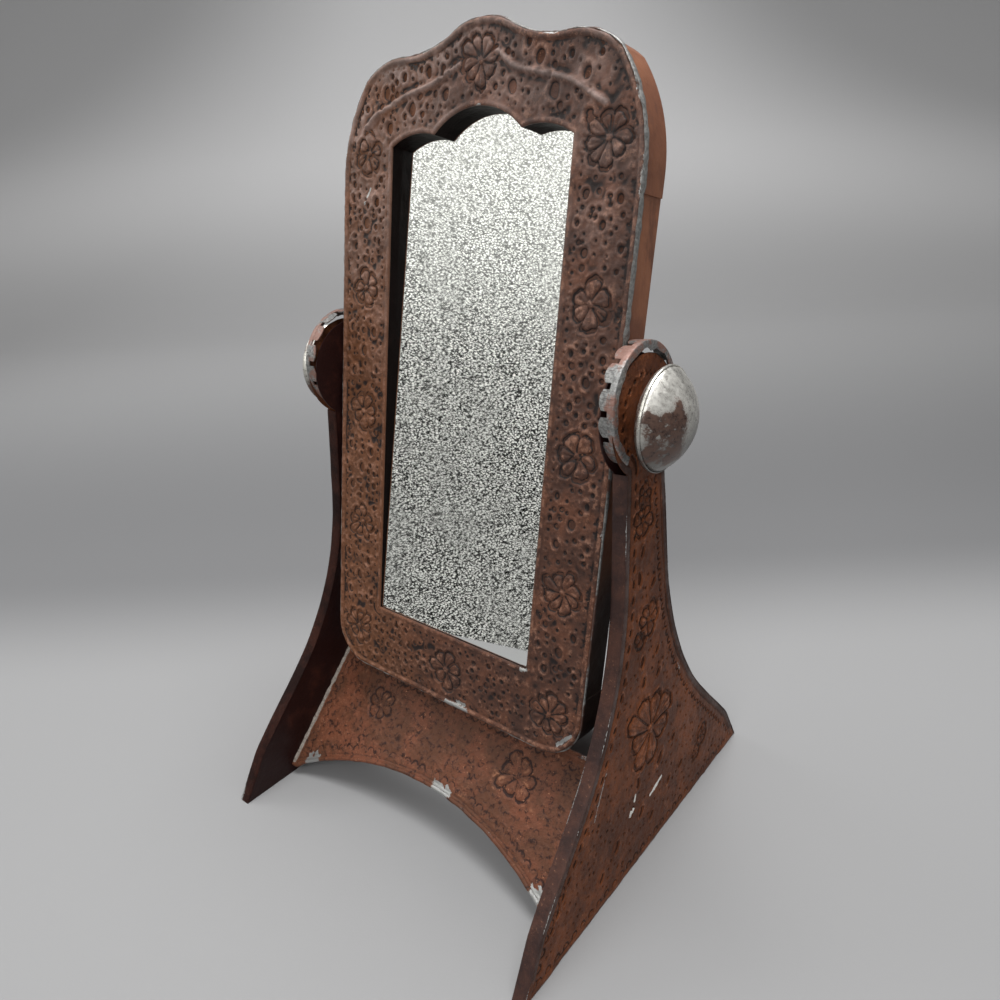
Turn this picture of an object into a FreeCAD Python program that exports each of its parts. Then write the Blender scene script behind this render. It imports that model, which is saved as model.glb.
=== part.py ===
import FreeCAD, Part
import math
import os
from FreeCAD import Vector

# Swinging tin mirror on its own stand: an embossed, scalloped mirror box that turns on two
# thumb screws between two hollow side panels, which a front and a rear apron hold apart.
# Millimetres. X runs to the right, Y to the back, Z up. The origin lies on the floor, midway
# between the side panels and straight below the pivot axis.

# Driving sizes of the whole mirror
span = 210.0                 # over the outer faces of the side panels, at pivot height
pivot_height = 265.6         # pivot axis above the floor
tilt_angle = 10.5            # degrees that the mirror box leans back as it stands here
foot_spread = 12.85          # how far each panel's foot stands outside its head

# Side panels: the outline of each, seen from the side
head_radius = 29.9           # round head about the pivot
neck_half = 18.3             # half width where the neck meets the head
waist_half = 27.0            # where the neck's line and the flare's line cross
waist_height = 120.5
waist_radius = 186.0         # sweep that joins the neck to the flare
knee_half = 108.6            # where the flare turns down into the toe
knee_height = 30.0
knee_radius = 40.0
toe_half = 125.5             # half depth of the foot on the floor
panel_thickness = 7.4
panel_sheet = 0.7            # gauge of the two faces
edge_sheet = 0.8             # gauge of the edge strips
edge_proud = 0.2             # the strips stand this far past both faces
tab_step_angle = 24.0        # degrees from one snipped tab of the head to the next
tab_count = 10
tab_slit = 1.1               # width of the snip between two tabs
tab_depth_share = 0.68       # of the strip's width that a snip reaches across
head_lip_width = 2.6         # tabs folded flat over the rim of the outer face
head_lip_sheet = 0.5
head_sides = 30              # flats of the whole head strip, two or more to a tab

# Aprons
apron_set_back = 39.3        # the apron's foot stands this far in from the toes
apron_top_half = 25.5        # from the pivot plane to the apron's top edge
apron_sheet = 0.9
apron_foot_rise = 6.4        # the apron's lower corners clear the floor
swing_gap = 6.6              # between the swinging box and the aprons' top edges
front_arch_rise = 32.5       # along the sloping sheet, above the apron's foot
rear_arch_rise = 20.0
arch_foot_margin = 4.0       # apron left standing beside the arch, at each side
hem_radius = 1.5             # rolled hem along the arch
top_hem_radius = 1.1
seam_leg = 2.4               # solder fillet where an apron meets a panel

# Mirror box
side_gap = 2.4               # between the box and a panel's inner face, at the pivot
box_drop = 188.2             # from the pivot axis to the bottom edge
crown_height = 173.0         # from the pivot axis to the top of the crown
box_front = 10.4             # face of the box ahead of the pivot axis
box_depth = 19.6
bottom_corner = 25.0         # radius of the lower corners
face_sheet = 0.8
rim_width = 2.8              # rolled bead round the face
rim_height = 0.9
rim_slope = 0.8              # the bead's two sides lean in by this much
rim_start = 0.35             # the bead stands this far in from the face's edge
rim_flats = 5                # of the bead along each arc of the outline
border = 37.4                # width of the embossed border beside the opening
foot_border = 43.5           # below the opening
crown_border = 37.5          # above the opening's head
opening_head_rise = 15.5     # from where the opening's upright sides end to its head
border_width = 1.6           # fine raised border round the opening
border_height = 0.5
case_sheet = 0.7
case_inset = 0.2             # casing set in from the face's edge
lap_length = 9.0             # overlap of two casing strips
top_lap_drop = 8.8           # the crown strip ends this far below the first curve of the crown
foot_lap_rise = 38.2         # the foot strip ends this far above the box's foot
lip_sheet = 0.7

# Glass and what holds it
glass_thickness = 3.0
glass_cover = 6.0            # glass hidden behind the face beside the opening
glass_set_back = 5.0         # glass behind the face, level with the pivot
glass_lean = 1.44            # degrees, the glass lies deeper at the top
board_thickness = 2.0
board_margin = 1.0
back_sheet = 0.7
back_flange = 6.0
back_fit = 0.3
tab_width = 12.0             # bent tabs that hold the glass
tab_reach = 7.0
tab_sheet = 0.7
tab_fit = 0.3

# Pivot hardware
screw_radius = 2.5
running_fit = 0.05           # radial, every bore that the screw turns in
screw_end_inset = 22.0       # the screw ends this far inside the casing
nut_across = 9.0
nut_sides = 6
roll_sides = 6               # of each rolled hem's section
nut_thickness = 4.5
plate_length = 34.0          # stiffening plate behind the nut
plate_width = 14.0
plate_sheet = 1.2
spacer_radius = 8.0
spacer_thickness = 2.4
washer_radius = 9.0
washer_thickness = 1.2
washer_gap = 0.9             # washer ahead of the leaning outer face, on the axis
knob_radius = 24.5
knob_back_rise = 6.8         # dished back, from the washer to the rim
knob_back_radius = 8.6
knob_rim = 1.8               # width of the rolled rim
knob_rim_proud = 0.5
knob_crown = 13.0
knob_sheet = 0.8
knob_bulge_share = 0.4       # of the back's rise, where its dish is fullest
knob_steps = 3               # bands that make up each dome
knob_sides = 24              # of each knob, washer and spacer
screw_head_across = 10.0
screw_head_thickness = 2.6

overrun = 4.0                # a cut passes this far beyond what it cuts

# Embossed flowers and ridges, beaten up from behind
petal_count = 7
petal_height = 1.0
face_flower_radius = 11.0
face_flower_rows = 5
face_flower_pitch = 70.0     # up each side of the face
face_flower_drop = 57.0      # from the top of the crown to the uppermost flower of each side
crown_flower_radius = 12.0
ridge_width = 1.5
ridge_height = 0.6
panel_flower_radius = 11.0
foot_flower_radius = 19.0    # the large flower low on each panel
toe_flower_half = 68.0           # behind the pivot plane
toe_flower_height = 31.0
toe_flower_radius = 10.0
apron_flower_half = 62.0
apron_flower_radius = 12.0

# Sizes that follow
half_span = span / 2
lean_angle = math.degrees(math.atan(foot_spread / pivot_height))
box_half = half_span - panel_thickness - side_gap
box_back = box_depth - box_front
opening_half = box_half - border
opening_drop = box_drop - foot_border
opening_crown = crown_height - crown_border
opening_shoulder = opening_crown - opening_head_rise
apron_foot_half = toe_half - apron_set_back
swing_radius = box_drop + swing_gap
apron_top_height = pivot_height - math.sqrt(swing_radius ** 2 - apron_top_half ** 2)
strip_inset = case_inset + case_sheet

# The crown of the face, as shares of its half width and of its crown height. The right side
# turns over into the shoulder; then each row is the middle and the end of one arc.
crown_start_share = 0.60
shoulder_share = (0.822, 0.881)
crown_shares = [((0.672, 0.925), (0.523, 0.932)),
                ((0.357, 0.940), (0.210, 0.968))]
ridge_shares = [((0.17, 0.891), (0.24, 0.862), (0.40, 0.844)),
                ((0.40, 0.844), (0.61, 0.815), (0.77, 0.752))]
panel_flower_share = 0.588       # of the pivot's height, the flower at the waist
neck_flower_share = 0.820
foot_flower_share = 0.332
apron_flower_share = 0.70        # of the way up the slope
petal_root_share = 0.56          # of the flower's radius, where neighbouring petals part
opening_cusp_half_share = 0.485
opening_cusp_share = 0.275       # of the way from the shoulder up to the opening's crown
opening_bow_half_share = 0.76
opening_bow_share = 0.33
glazing_level_shares = (-0.62, 0.0, 0.62)    # of the opening's drop

axis_x = Vector(1, 0, 0)
axis_y = Vector(0, 1, 0)
axis_z = Vector(0, 0, 1)
origin = Vector(0, 0, 0)
pivot = Vector(0, 0, pivot_height)


def save(shape, name):
    shape.exportStep("parts/" + name + ".step")


def line(a, b):
    return Part.LineSegment(a, b).toShape()


def arc(a, b, c):
    return Part.Arc(a, b, c).toShape()


def tangent_arc(start, direction, end):
    """Arc from start to end that leaves start in the given direction."""
    chord = end - start
    ahead = direction * (direction.dot(chord))
    side = (ahead - chord * (ahead.dot(chord) / chord.dot(chord))).normalize()
    swell = chord.Length / 2 * math.tan(direction.getAngle(chord) / 2)
    return arc(start, start + chord / 2 + side * swell, end)


def box(x0, x1, y0, y1, z0, z1):
    return Part.makeBox(x1 - x0, y1 - y0, z1 - z0, Vector(x0, y0, z0))


def rounded_edges(corners, radii):
    """Edges along a chain of corners; a corner with a radius is rounded by a tangent arc."""
    edges = []
    start = corners[0]
    for before, corner, after, radius in zip(corners, corners[1:], corners[2:], radii):
        inward = (before - corner).normalize()
        outward = (after - corner).normalize()
        half_angle = inward.getAngle(outward) / 2
        tangent = radius / math.tan(half_angle)
        first = corner + inward * tangent
        last = corner + outward * tangent
        middle_way = (inward + outward).normalize()
        centre = corner + middle_way * (radius / math.sin(half_angle))
        edges.append(line(start, first))
        edges.append(arc(first, centre - middle_way * radius, last))
        start = last
    edges.append(line(start, corners[-1]))
    return edges


def inset_face(face, distance):
    """The same outline drawn in by a distance, or out where the distance is negative."""
    return face.makeOffset2D(-distance)


def ring(face, outer_inset, inner_inset):
    outer = inset_face(face, outer_inset) if outer_inset else face
    return outer.cut(inset_face(face, inner_inset))


def spread(count):
    """Angles of so many corners spread evenly round a circle."""
    return [2 * math.pi * index / count for index in range(count)]


def faceted(rings):
    """Solid of flat faces through closed rings of points; the last ring may be a single point."""
    bounds = [rings[0]]
    for low, high in zip(rings, rings[1:]):
        for index in range(len(low)):
            after = (index + 1) % len(low)
            if len(high) == 1:
                bounds.append([low[index], low[after], high[0]])
            else:
                bounds.append([low[index], low[after], high[after], high[index]])
    if len(rings[-1]) > 1:
        bounds.append(rings[-1])
    shell = Part.Shell([Part.Face(Part.makePolygon(corners + corners[:1])) for corners in bounds])
    shell.sewShape()
    return Part.Solid(shell)


def flower(radius, sunk):
    """Raised flower on the XY plane: a star of petals whose ridges meet in its middle."""
    rim = []
    for index, angle in enumerate(spread(2 * petal_count)):
        r = radius if index % 2 == 0 else petal_root_share * radius
        rim.append(Vector(r * math.cos(angle), r * math.sin(angle), -sunk))
    return faceted([rim, [Vector(0, 0, petal_height)]])


def face_flower(radius, x, z):
    """Flower raised towards the front on the mirror box's face."""
    star = flower(radius, face_sheet / 2)
    star.rotate(origin, axis_x, 90)
    star.translate(Vector(x, -box_front, z))
    return star


def panel_flower(radius, y, z):
    """Flower raised outwards on the right panel's outer face."""
    star = flower(radius, panel_sheet / 2)
    star.rotate(origin, axis_y, 90)
    star.translate(Vector(half_span, y, z))
    return star


def bore(radius, x0, x1):
    return Part.makeCylinder(radius, x1 - x0, Vector(x0, 0, pivot_height), axis_x)


def turned(profile, sides):
    """Many-sided solid about the pivot axis through the (x, radius) points; the last radius may be zero."""
    rings = []
    for x, radius in profile:
        if radius < running_fit:
            rings.append([Vector(x, 0, pivot_height)])
            continue
        rings.append([Vector(x, radius * math.cos(angle), pivot_height + radius * math.sin(angle))
                      for angle in spread(sides)])
    return faceted(rings)


def mirrored(shape):
    return shape.mirror(origin, axis_x)


# Side panels, made for the right side and mirrored for the left

def panel_outline():
    """Outline of a panel in the YZ plane: foot, toes, flares, neck and round head."""
    below = overrun
    knee_to_toe = (toe_half - knee_half) / knee_height
    sunk_toe = toe_half + knee_to_toe * below
    neck_drop = math.sqrt(head_radius ** 2 - neck_half ** 2)
    neck = Vector(0, neck_half, pivot_height - neck_drop)
    waist = Vector(0, waist_half, waist_height)
    knee = Vector(0, knee_half, knee_height)
    toe = Vector(0, sunk_toe, -below)

    def forward(p):
        return Vector(p.x, -p.y, p.z)

    crown = Vector(0, 0, pivot_height + head_radius)
    rear = rounded_edges([toe, knee, waist, neck], [knee_radius, waist_radius])
    head = [arc(neck, crown, forward(neck))]
    front = rounded_edges([forward(p) for p in (neck, waist, knee, toe)], [waist_radius, knee_radius])
    foot = [line(forward(toe), toe)]
    return Part.Face(Part.Wire(rear + head + front + foot))


def lean(shape):
    """Stand a panel piece up at its lean and trim its foot level with the floor."""
    leaning = shape.copy()
    leaning.rotate(Vector(half_span, 0, pivot_height), axis_y, -lean_angle)
    reach = span + toe_half
    floor = box(-reach, reach, -reach, reach, -pivot_height, 0)
    return leaning.cut(floor)


def slab(face, x0, x1):
    placed = face.copy()
    placed.translate(Vector(x0, 0, 0))
    return placed.extrude(Vector(x1 - x0, 0, 0))


def inner_half_space():
    """All that lies inside the right panel's inner face, for seating the aprons."""
    reach = pivot_height
    block = box(-reach, half_span - panel_thickness, -reach, reach, -overrun, reach)
    block.rotate(Vector(half_span, 0, pivot_height), axis_y, -lean_angle)
    return block


def head_strip():
    """Strip of flats round the head, turned in over the rim of the outer face."""
    back_x = half_span - panel_thickness - edge_proud
    lip_x = half_span + edge_proud
    front_x = lip_x + head_lip_sheet
    corner_share = 1 / math.cos(math.pi / head_sides)
    corner = head_radius * corner_share
    inside = (head_radius - edge_sheet) * corner_share
    opened = head_radius - head_lip_width
    hoop = turned([(back_x, corner), (front_x, corner)], head_sides)
    hoop = hoop.cut(turned([(back_x - overrun, inside), (lip_x, inside)], head_sides))
    return hoop.cut(turned([(lip_x - overrun, opened), (front_x + overrun, opened)], head_sides))


def snips():
    """The slits between the tabs, spread evenly about the top of the head."""
    deep = tab_depth_share * panel_thickness
    low_x = half_span - panel_thickness - edge_proud - overrun
    cuts = []
    for index in range(tab_count):
        angle = (index - (tab_count - 1) / 2) * tab_step_angle
        slit = box(low_x, half_span - panel_thickness + deep, -tab_slit / 2, tab_slit / 2,
                   head_radius - edge_sheet - overrun, head_radius + overrun)
        slit.rotate(origin, axis_x, angle)
        slit.translate(pivot)
        cuts.append(slit)
    return cuts


def side_panel():
    """Pieces of the right panel by name."""
    outline = panel_outline()
    inside = inset_face(outline, edge_sheet)
    outer_x = half_span
    inner_x = half_span - panel_thickness
    screw_hole = bore(screw_radius + running_fit, inner_x - overrun, outer_x + overrun)

    sheet = slab(inside, outer_x - panel_sheet, outer_x)
    flowers = [panel_flower(panel_flower_radius, 0, panel_flower_share * pivot_height),
               panel_flower(panel_flower_radius, 0, neck_flower_share * pivot_height),
               panel_flower(foot_flower_radius, 0, foot_flower_share * pivot_height),
               panel_flower(toe_flower_radius, toe_flower_half, toe_flower_height)]
    outer_face = lean(sheet.fuse(flowers)).cut(screw_hole)
    inner_face = lean(slab(inside, inner_x, inner_x + panel_sheet)).cut(screw_hole)

    strip = slab(outline.cut(inside), inner_x - edge_proud, outer_x + edge_proud)
    reach = pivot_height + head_radius + overrun
    neck_level = pivot_height - math.sqrt(head_radius ** 2 - neck_half ** 2)
    x0 = inner_x - overrun
    x1 = outer_x + overrun
    deep = toe_half + pivot_height
    head_zone = box(x0, x1, -deep, deep, neck_level, reach)
    front_zone = box(x0, x1, -deep, 0, -overrun, neck_level)
    rear_zone = box(x0, x1, 0, deep, -overrun, neck_level)
    # the foot strip closes the panel between its two faces
    sole = slab(inside, inner_x + panel_sheet, outer_x - panel_sheet)
    sole = sole.common(box(x0, x1, -deep, deep, -overrun, edge_sheet))

    head_rim = head_strip().common(head_zone)
    for cut in snips():
        head_rim = head_rim.cut(cut)
    return {
        "outer_face": outer_face,
        "inner_face": inner_face,
        "front_edge": lean(strip.common(front_zone)),
        "rear_edge": lean(strip.common(rear_zone)),
        "head_rim": lean(head_rim),
        "sole_strip": lean(sole),
    }


def both_sides(pieces):
    for name, shape in pieces.items():
        save(shape, "right_" + name)
        save(mirrored(shape), "left_" + name)


# Aprons

def apron_line(sign):
    """Foot point and top point of one apron's slope."""
    foot = Vector(0, sign * apron_foot_half, apron_foot_rise)
    top = Vector(0, sign * apron_top_half, apron_top_height)
    return foot, top


def roll(radius, across, centre):
    """Six-sided section of a rolled hem, standing along Z and the given direction."""
    points = [centre + across * (radius * math.cos(angle)) + axis_z * (radius * math.sin(angle))
              for angle in spread(roll_sides)]
    return Part.Face(Part.makePolygon(points + points[:1]))


def apron(sign, arch_rise):
    """Sloping sheet with an arched, hemmed lower edge; sign is -1 for the front one."""
    foot, top = apron_line(sign)
    run = top - foot
    slope = run.Length
    half = half_span + foot_spread
    arch_half = half_span - panel_thickness + foot_spread - arch_foot_margin
    radius = (arch_half ** 2 + arch_rise ** 2) / (2 * arch_rise)
    # drawn flat in the XY plane, x across and y up the slope, then laid on its slope
    corner = Vector(half, 0, 0)
    start = Vector(arch_half, 0, 0)
    middle = Vector(0, arch_rise, 0)
    outline = [line(Vector(-half, 0, 0), Vector(-arch_half, 0, 0)),
               arc(Vector(-arch_half, 0, 0), middle, start),
               line(start, corner),
               line(corner, Vector(half, slope, 0)),
               line(Vector(half, slope, 0), Vector(-half, slope, 0)),
               line(Vector(-half, slope, 0), Vector(-half, 0, 0))]
    sheet = Part.Face(Part.Wire(outline)).extrude(Vector(0, 0, apron_sheet))
    sweep = math.degrees(math.asin(arch_half / radius))
    arch_centre = Vector(0, arch_rise - radius, apron_sheet / 2)
    hem = roll(hem_radius, axis_x, arch_centre + axis_x * radius)
    hem = hem.revolve(arch_centre, axis_z, 2 * sweep)
    hem.rotate(arch_centre, axis_z, 90 - sweep)
    top_hem = roll(top_hem_radius, axis_y, Vector(-half, slope, apron_sheet / 2))
    top_hem = top_hem.extrude(Vector(2 * half, 0, 0))
    flowers = []
    for side in (-1, 1):
        star = flower(apron_flower_radius, apron_sheet / 2)
        star.translate(Vector(side * apron_flower_half, apron_flower_share * slope, apron_sheet))
        flowers.append(star)
    body = sheet.fuse([hem, top_hem] + flowers)
    angle = math.degrees(math.atan2(run.z, -sign * run.y))
    body.rotate(origin, axis_x, angle)
    if sign > 0:
        body = body.mirror(origin, axis_y)
    body.translate(foot)
    seat = inner_half_space()
    body = body.common(seat).common(mirrored(seat))
    floor = box(-span, span, -span, span, -pivot_height, 0)
    return body.cut(floor)


def seam(sign):
    """Solder fillet where the outer side of one apron meets the right panel."""
    foot, top = apron_line(sign)
    run = (top - foot).normalize()
    outward = Vector(0, sign * run.z, -sign * run.y)
    rise = outward * seam_leg
    on_sheet = outward * apron_sheet
    reach = half_span + foot_spread
    sections = []
    for point in (foot + run * (hem_radius + seam_leg), top - run * (top_hem_radius + seam_leg)):
        point = point + on_sheet
        wall_x = half_span - panel_thickness + (pivot_height - point.z) * foot_spread / pivot_height
        inner = Vector(wall_x - seam_leg, point.y, point.z)
        wall = Vector(wall_x, point.y, point.z) + rise
        beyond = Vector(reach, point.y, point.z)
        sections.append(Part.makePolygon([beyond, inner, wall, beyond + rise, beyond]))
    return Part.makeLoft(sections, True, True).common(inner_half_space())


# Mirror box, drawn upright about the pivot axis and then leaned back

def face_outline():
    """Outline of the face in the XZ plane: rounded foot, straight sides and scalloped crown."""
    def over(p):
        return Vector(-p.x, p.y, p.z)

    def crown_point(share):
        return Vector(share[0] * box_half, 0, share[1] * crown_height)

    side_end = Vector(box_half, 0, crown_start_share * crown_height)
    start = crown_point(shoulder_share)
    edges = [tangent_arc(side_end, axis_z, start)]
    scallops = []
    for middle, end in crown_shares:
        scallops.append((start, crown_point(middle), crown_point(end)))
        start = crown_point(end)
    edges += [arc(*points) for points in scallops]
    edges.append(arc(start, Vector(0, 0, crown_height), over(start)))
    edges += [arc(over(c), over(b), over(a)) for a, b, c in reversed(scallops)]
    edges.append(tangent_arc(over(side_end), axis_z, over(edges[0].Vertexes[-1].Point)))
    foot = Vector(box_half, 0, -box_drop)
    edges += rounded_edges([over(side_end), over(foot), foot, side_end], [bottom_corner, bottom_corner])
    return Part.Face(Part.Wire(edges))


def opening_outline():
    """Outline of the opening in the XZ plane, its head scalloped like the crown."""
    rise = opening_crown - opening_shoulder
    shoulder = Vector(opening_half, 0, opening_shoulder)
    foot = Vector(opening_half, 0, -opening_drop)
    cusp = Vector(opening_cusp_half_share * opening_half, 0, opening_shoulder + opening_cusp_share * rise)
    bow = Vector(opening_bow_half_share * opening_half, 0, opening_shoulder + opening_bow_share * rise)

    def over(p):
        return Vector(-p.x, p.y, p.z)

    edges = [line(foot, shoulder),
             arc(shoulder, bow, cusp),
             arc(cusp, Vector(0, 0, opening_crown), over(cusp)),
             arc(over(cusp), over(bow), over(shoulder)),
             line(over(shoulder), over(foot)),
             line(over(foot), foot)]
    return Part.Face(Part.Wire(edges))


def plate(face, y0, y1):
    placed = face.copy()
    placed.translate(Vector(0, y0, 0))
    return placed.extrude(Vector(0, y1 - y0, 0))


def corners_along(outline):
    """Corners along an outline in the XZ plane, a few to each arc, round it one way."""
    corners = []
    for edge in outline.OuterWire.OrderedEdges:
        steps = 1 if edge.Curve.TypeId == "Part::GeomLine" else rim_flats
        spots = edge.discretize(steps + 1)
        if edge.Orientation == "Reversed":
            spots.reverse()
        corners += spots[:-1]
    turn = sum(a.cross(b).y for a, b in zip(corners, corners[1:] + corners[:1]))
    return corners if turn < 0 else corners[::-1]


def drawn_in(corners, distance, y):
    """The same corners drawn in by a distance, square to each side, and laid at depth y."""
    moved = []
    for before, corner, after in zip(corners[-1:] + corners[:-1], corners, corners[1:] + corners[:1]):
        inward = (corner - before).cross(axis_y).normalize()
        next_inward = (after - corner).cross(axis_y).normalize()
        middle_way = (inward + next_inward).normalize()
        moved.append(corner + middle_way * (distance / middle_way.dot(inward)) + axis_y * y)
    return moved


def sloped_plate(corners, back_inset, front_inset, y, height):
    """Plate that stands forward of y by a height, drawn in unlike at back and front."""
    return faceted([drawn_in(corners, back_inset, y), drawn_in(corners, front_inset, y - height)])


def stand_up(shape):
    """Lean a piece of the mirror box back and lift it to the pivot."""
    placed = shape.copy()
    placed.rotate(origin, axis_x, -tilt_angle)
    placed.translate(pivot)
    return placed


def glass_frame(shape):
    """Lay a piece drawn on the glass's own front plane into the mirror box."""
    placed = shape.copy()
    placed.rotate(origin, axis_x, -glass_lean)
    placed.translate(Vector(0, glass_set_back - box_front, 0))
    return placed


def behind_glass():
    """All that lies behind the glass's front plane."""
    reach = span
    return glass_frame(box(-reach, reach, 0, reach, -reach, reach))


def side_bores(shape):
    """Pierce a piece of the mirror box for both screws."""
    for x0, x1 in ((0, half_span), (-half_span, 0)):
        hole = Part.makeCylinder(screw_radius + running_fit, x1 - x0, Vector(x0, 0, 0), axis_x)
        shape = shape.cut(hole)
    return shape


def mirror_face():
    """Face plate with its rolled bead and the fine border of its opening."""
    outline = face_outline()
    opening = opening_outline()
    sheet = plate(outline.cut(opening), -box_front, face_sheet - box_front)
    corners = corners_along(outline)
    bead = sloped_plate(corners, rim_start, rim_slope, -box_front, rim_height)
    inside = sloped_plate(corners, rim_width, rim_width - rim_slope, -box_front, rim_height)
    bead = bead.cut(inside)
    border = plate(ring(inset_face(opening, -border_width), 0, border_width),
                   -box_front - border_height, -box_front)
    flowers = []
    side_x = (box_half + opening_half) / 2
    for row in range(face_flower_rows):
        for x in (-side_x, side_x):
            level = crown_height - face_flower_drop - row * face_flower_pitch
            flowers.append(face_flower(face_flower_radius, x, level))
    flowers.append(face_flower(crown_flower_radius, 0, (crown_height + opening_crown) / 2))
    flowers.append(face_flower(face_flower_radius, 0, -(box_drop + opening_drop) / 2))
    right = crown_ridge()
    return sheet.fuse([bead, border, right, mirrored(right)] + flowers).removeSplitter()


def crown_ridge():
    """Raised ridge that runs in an S from the crown's flower to the right shoulder."""
    arcs = []
    for row in ridge_shares:
        start, middle, end = (Vector(u * box_half, 0, v * crown_height) for u, v in row)
        arcs.append(arc(start, middle, end))
    strip = Part.Wire(arcs).makeOffset2D(ridge_width / 2, 0, True, True)
    return plate(strip, -box_front - ridge_height, face_sheet / 2 - box_front)


def opening_lip():
    """Reveal strip from the face back to the glass, deeper at the top."""
    opening = opening_outline()
    strip = plate(inset_face(opening, -lip_sheet).cut(opening), face_sheet - box_front, box_back)
    return strip.cut(behind_glass())


def casing():
    """The four strips that make the sides of the box, lapped where they meet."""
    outline = face_outline()
    front = face_sheet - box_front
    wide = box_half + overrun
    top_lap = crown_start_share * crown_height - top_lap_drop
    bottom_lap = foot_lap_rise - box_drop
    outer = plate(ring(outline, case_inset, strip_inset), front, box_back)
    inner = plate(ring(outline, strip_inset, strip_inset + case_sheet), front, box_back)
    top = outer.common(box(-wide, wide, -box_depth, box_depth, top_lap, crown_height + overrun))
    bottom = outer.common(box(-wide, wide, -box_depth, box_depth, -box_drop - overrun, bottom_lap))
    side_top = top_lap + lap_length
    side_foot = bottom_lap - lap_length
    sides = inner.common(box(-wide, wide, -box_depth, box_depth, side_foot, side_top))
    right = side_bores(sides.common(box(0, wide, -box_depth, box_depth, side_foot, side_top)))
    return {"top_casing": top, "bottom_casing": bottom, "right_casing": right,
            "left_casing": mirrored(right)}


def back_cover():
    """Scalloped back plate with a flange that slips inside the casing."""
    outline = face_outline()
    edge = strip_inset + case_sheet + back_fit
    fitted = inset_face(outline, edge)
    sheet = plate(fitted, box_back - back_sheet, box_back)
    flange = plate(ring(outline, edge, edge + back_sheet), box_back - back_flange, box_back)
    cover = sheet.fuse(flange).removeSplitter()
    # a notch in each side of the flange lets the nut's plate pass
    notch_half = plate_length / 2 + back_fit
    return cover.cut(box(-span, span, -box_depth, box_back - back_sheet, -notch_half, notch_half))


def glass_sheet(margin, y0, y1):
    """Plain sheet behind the opening, clipped at its upper corners."""
    half = opening_half + margin
    low = -opening_drop - margin
    high = opening_crown + margin
    clip = opening_crown - opening_shoulder
    points = [Vector(-half, y0, low), Vector(half, y0, low), Vector(half, y0, high - clip),
              Vector(half - clip, y0, high), Vector(clip - half, y0, high), Vector(-half, y0, high - clip)]
    outline = Part.makePolygon(points + points[:1])
    return glass_frame(Part.Face(outline).extrude(Vector(0, y1 - y0, 0)))


def glazing_tabs():
    """Bent tin tabs soldered behind the face and turned over the backing board."""
    half = opening_half + glass_cover + tab_fit
    back = glass_thickness + board_thickness
    behind_face = box(-span, span, face_sheet - box_front, box_depth, -span, span)
    tabs = []
    for level_share in glazing_level_shares:
        level = level_share * opening_drop
        z0 = level - tab_width / 2
        z1 = level + tab_width / 2
        upright = box(half, half + tab_sheet, -box_depth, back + tab_sheet, z0, z1)
        turned = box(half - tab_reach, half, back, back + tab_sheet, z0, z1)
        tab = glass_frame(upright.fuse(turned).removeSplitter()).common(behind_face)
        tabs += [tab, mirrored(tab)]
    return Part.makeCompound(tabs)


def pivot_nut():
    """Hexagonal nut against the stiffening plate, right side, about the pivot axis."""
    x1 = box_half - strip_inset - case_sheet - plate_sheet
    return side_bores(hexagon(nut_across, x1 - nut_thickness, nut_thickness))


def pivot_plate():
    """Stiffening plate inside the casing, right side."""
    x1 = box_half - strip_inset - case_sheet
    sheet = box(x1 - plate_sheet, x1, -plate_width / 2, plate_width / 2, -plate_length / 2, plate_length / 2)
    return side_bores(sheet)


def pivot_spacer():
    """Thick washer on the box's side that keeps it off the panel, right side."""
    x0 = box_half - strip_inset
    disc = turned([(x0, spacer_radius), (x0 + spacer_thickness, spacer_radius)], knob_sides)
    disc.translate(-pivot)
    return side_bores(disc)


# Thumb screws, made for the right side

def arc_profile(start, middle, end):
    """(x, radius) points along the arc through three such points."""
    curve = Part.Arc(*(Vector(x, r, 0) for x, r in (start, middle, end)))
    first, last = curve.FirstParameter, curve.LastParameter
    spots = [curve.value(first + (last - first) * step / knob_steps) for step in range(knob_steps + 1)]
    return [(spot.x, spot.y) for spot in spots]


def hexagon(across, x, thickness):
    """Six-sided prism about the pivot axis, drawn with the axis at the origin."""
    corner = across / math.sqrt(3)
    points = [Vector(x, corner * math.cos(angle), corner * math.sin(angle)) for angle in spread(nut_sides)]
    return Part.Face(Part.makePolygon(points + points[:1])).extrude(Vector(thickness, 0, 0))


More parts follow.
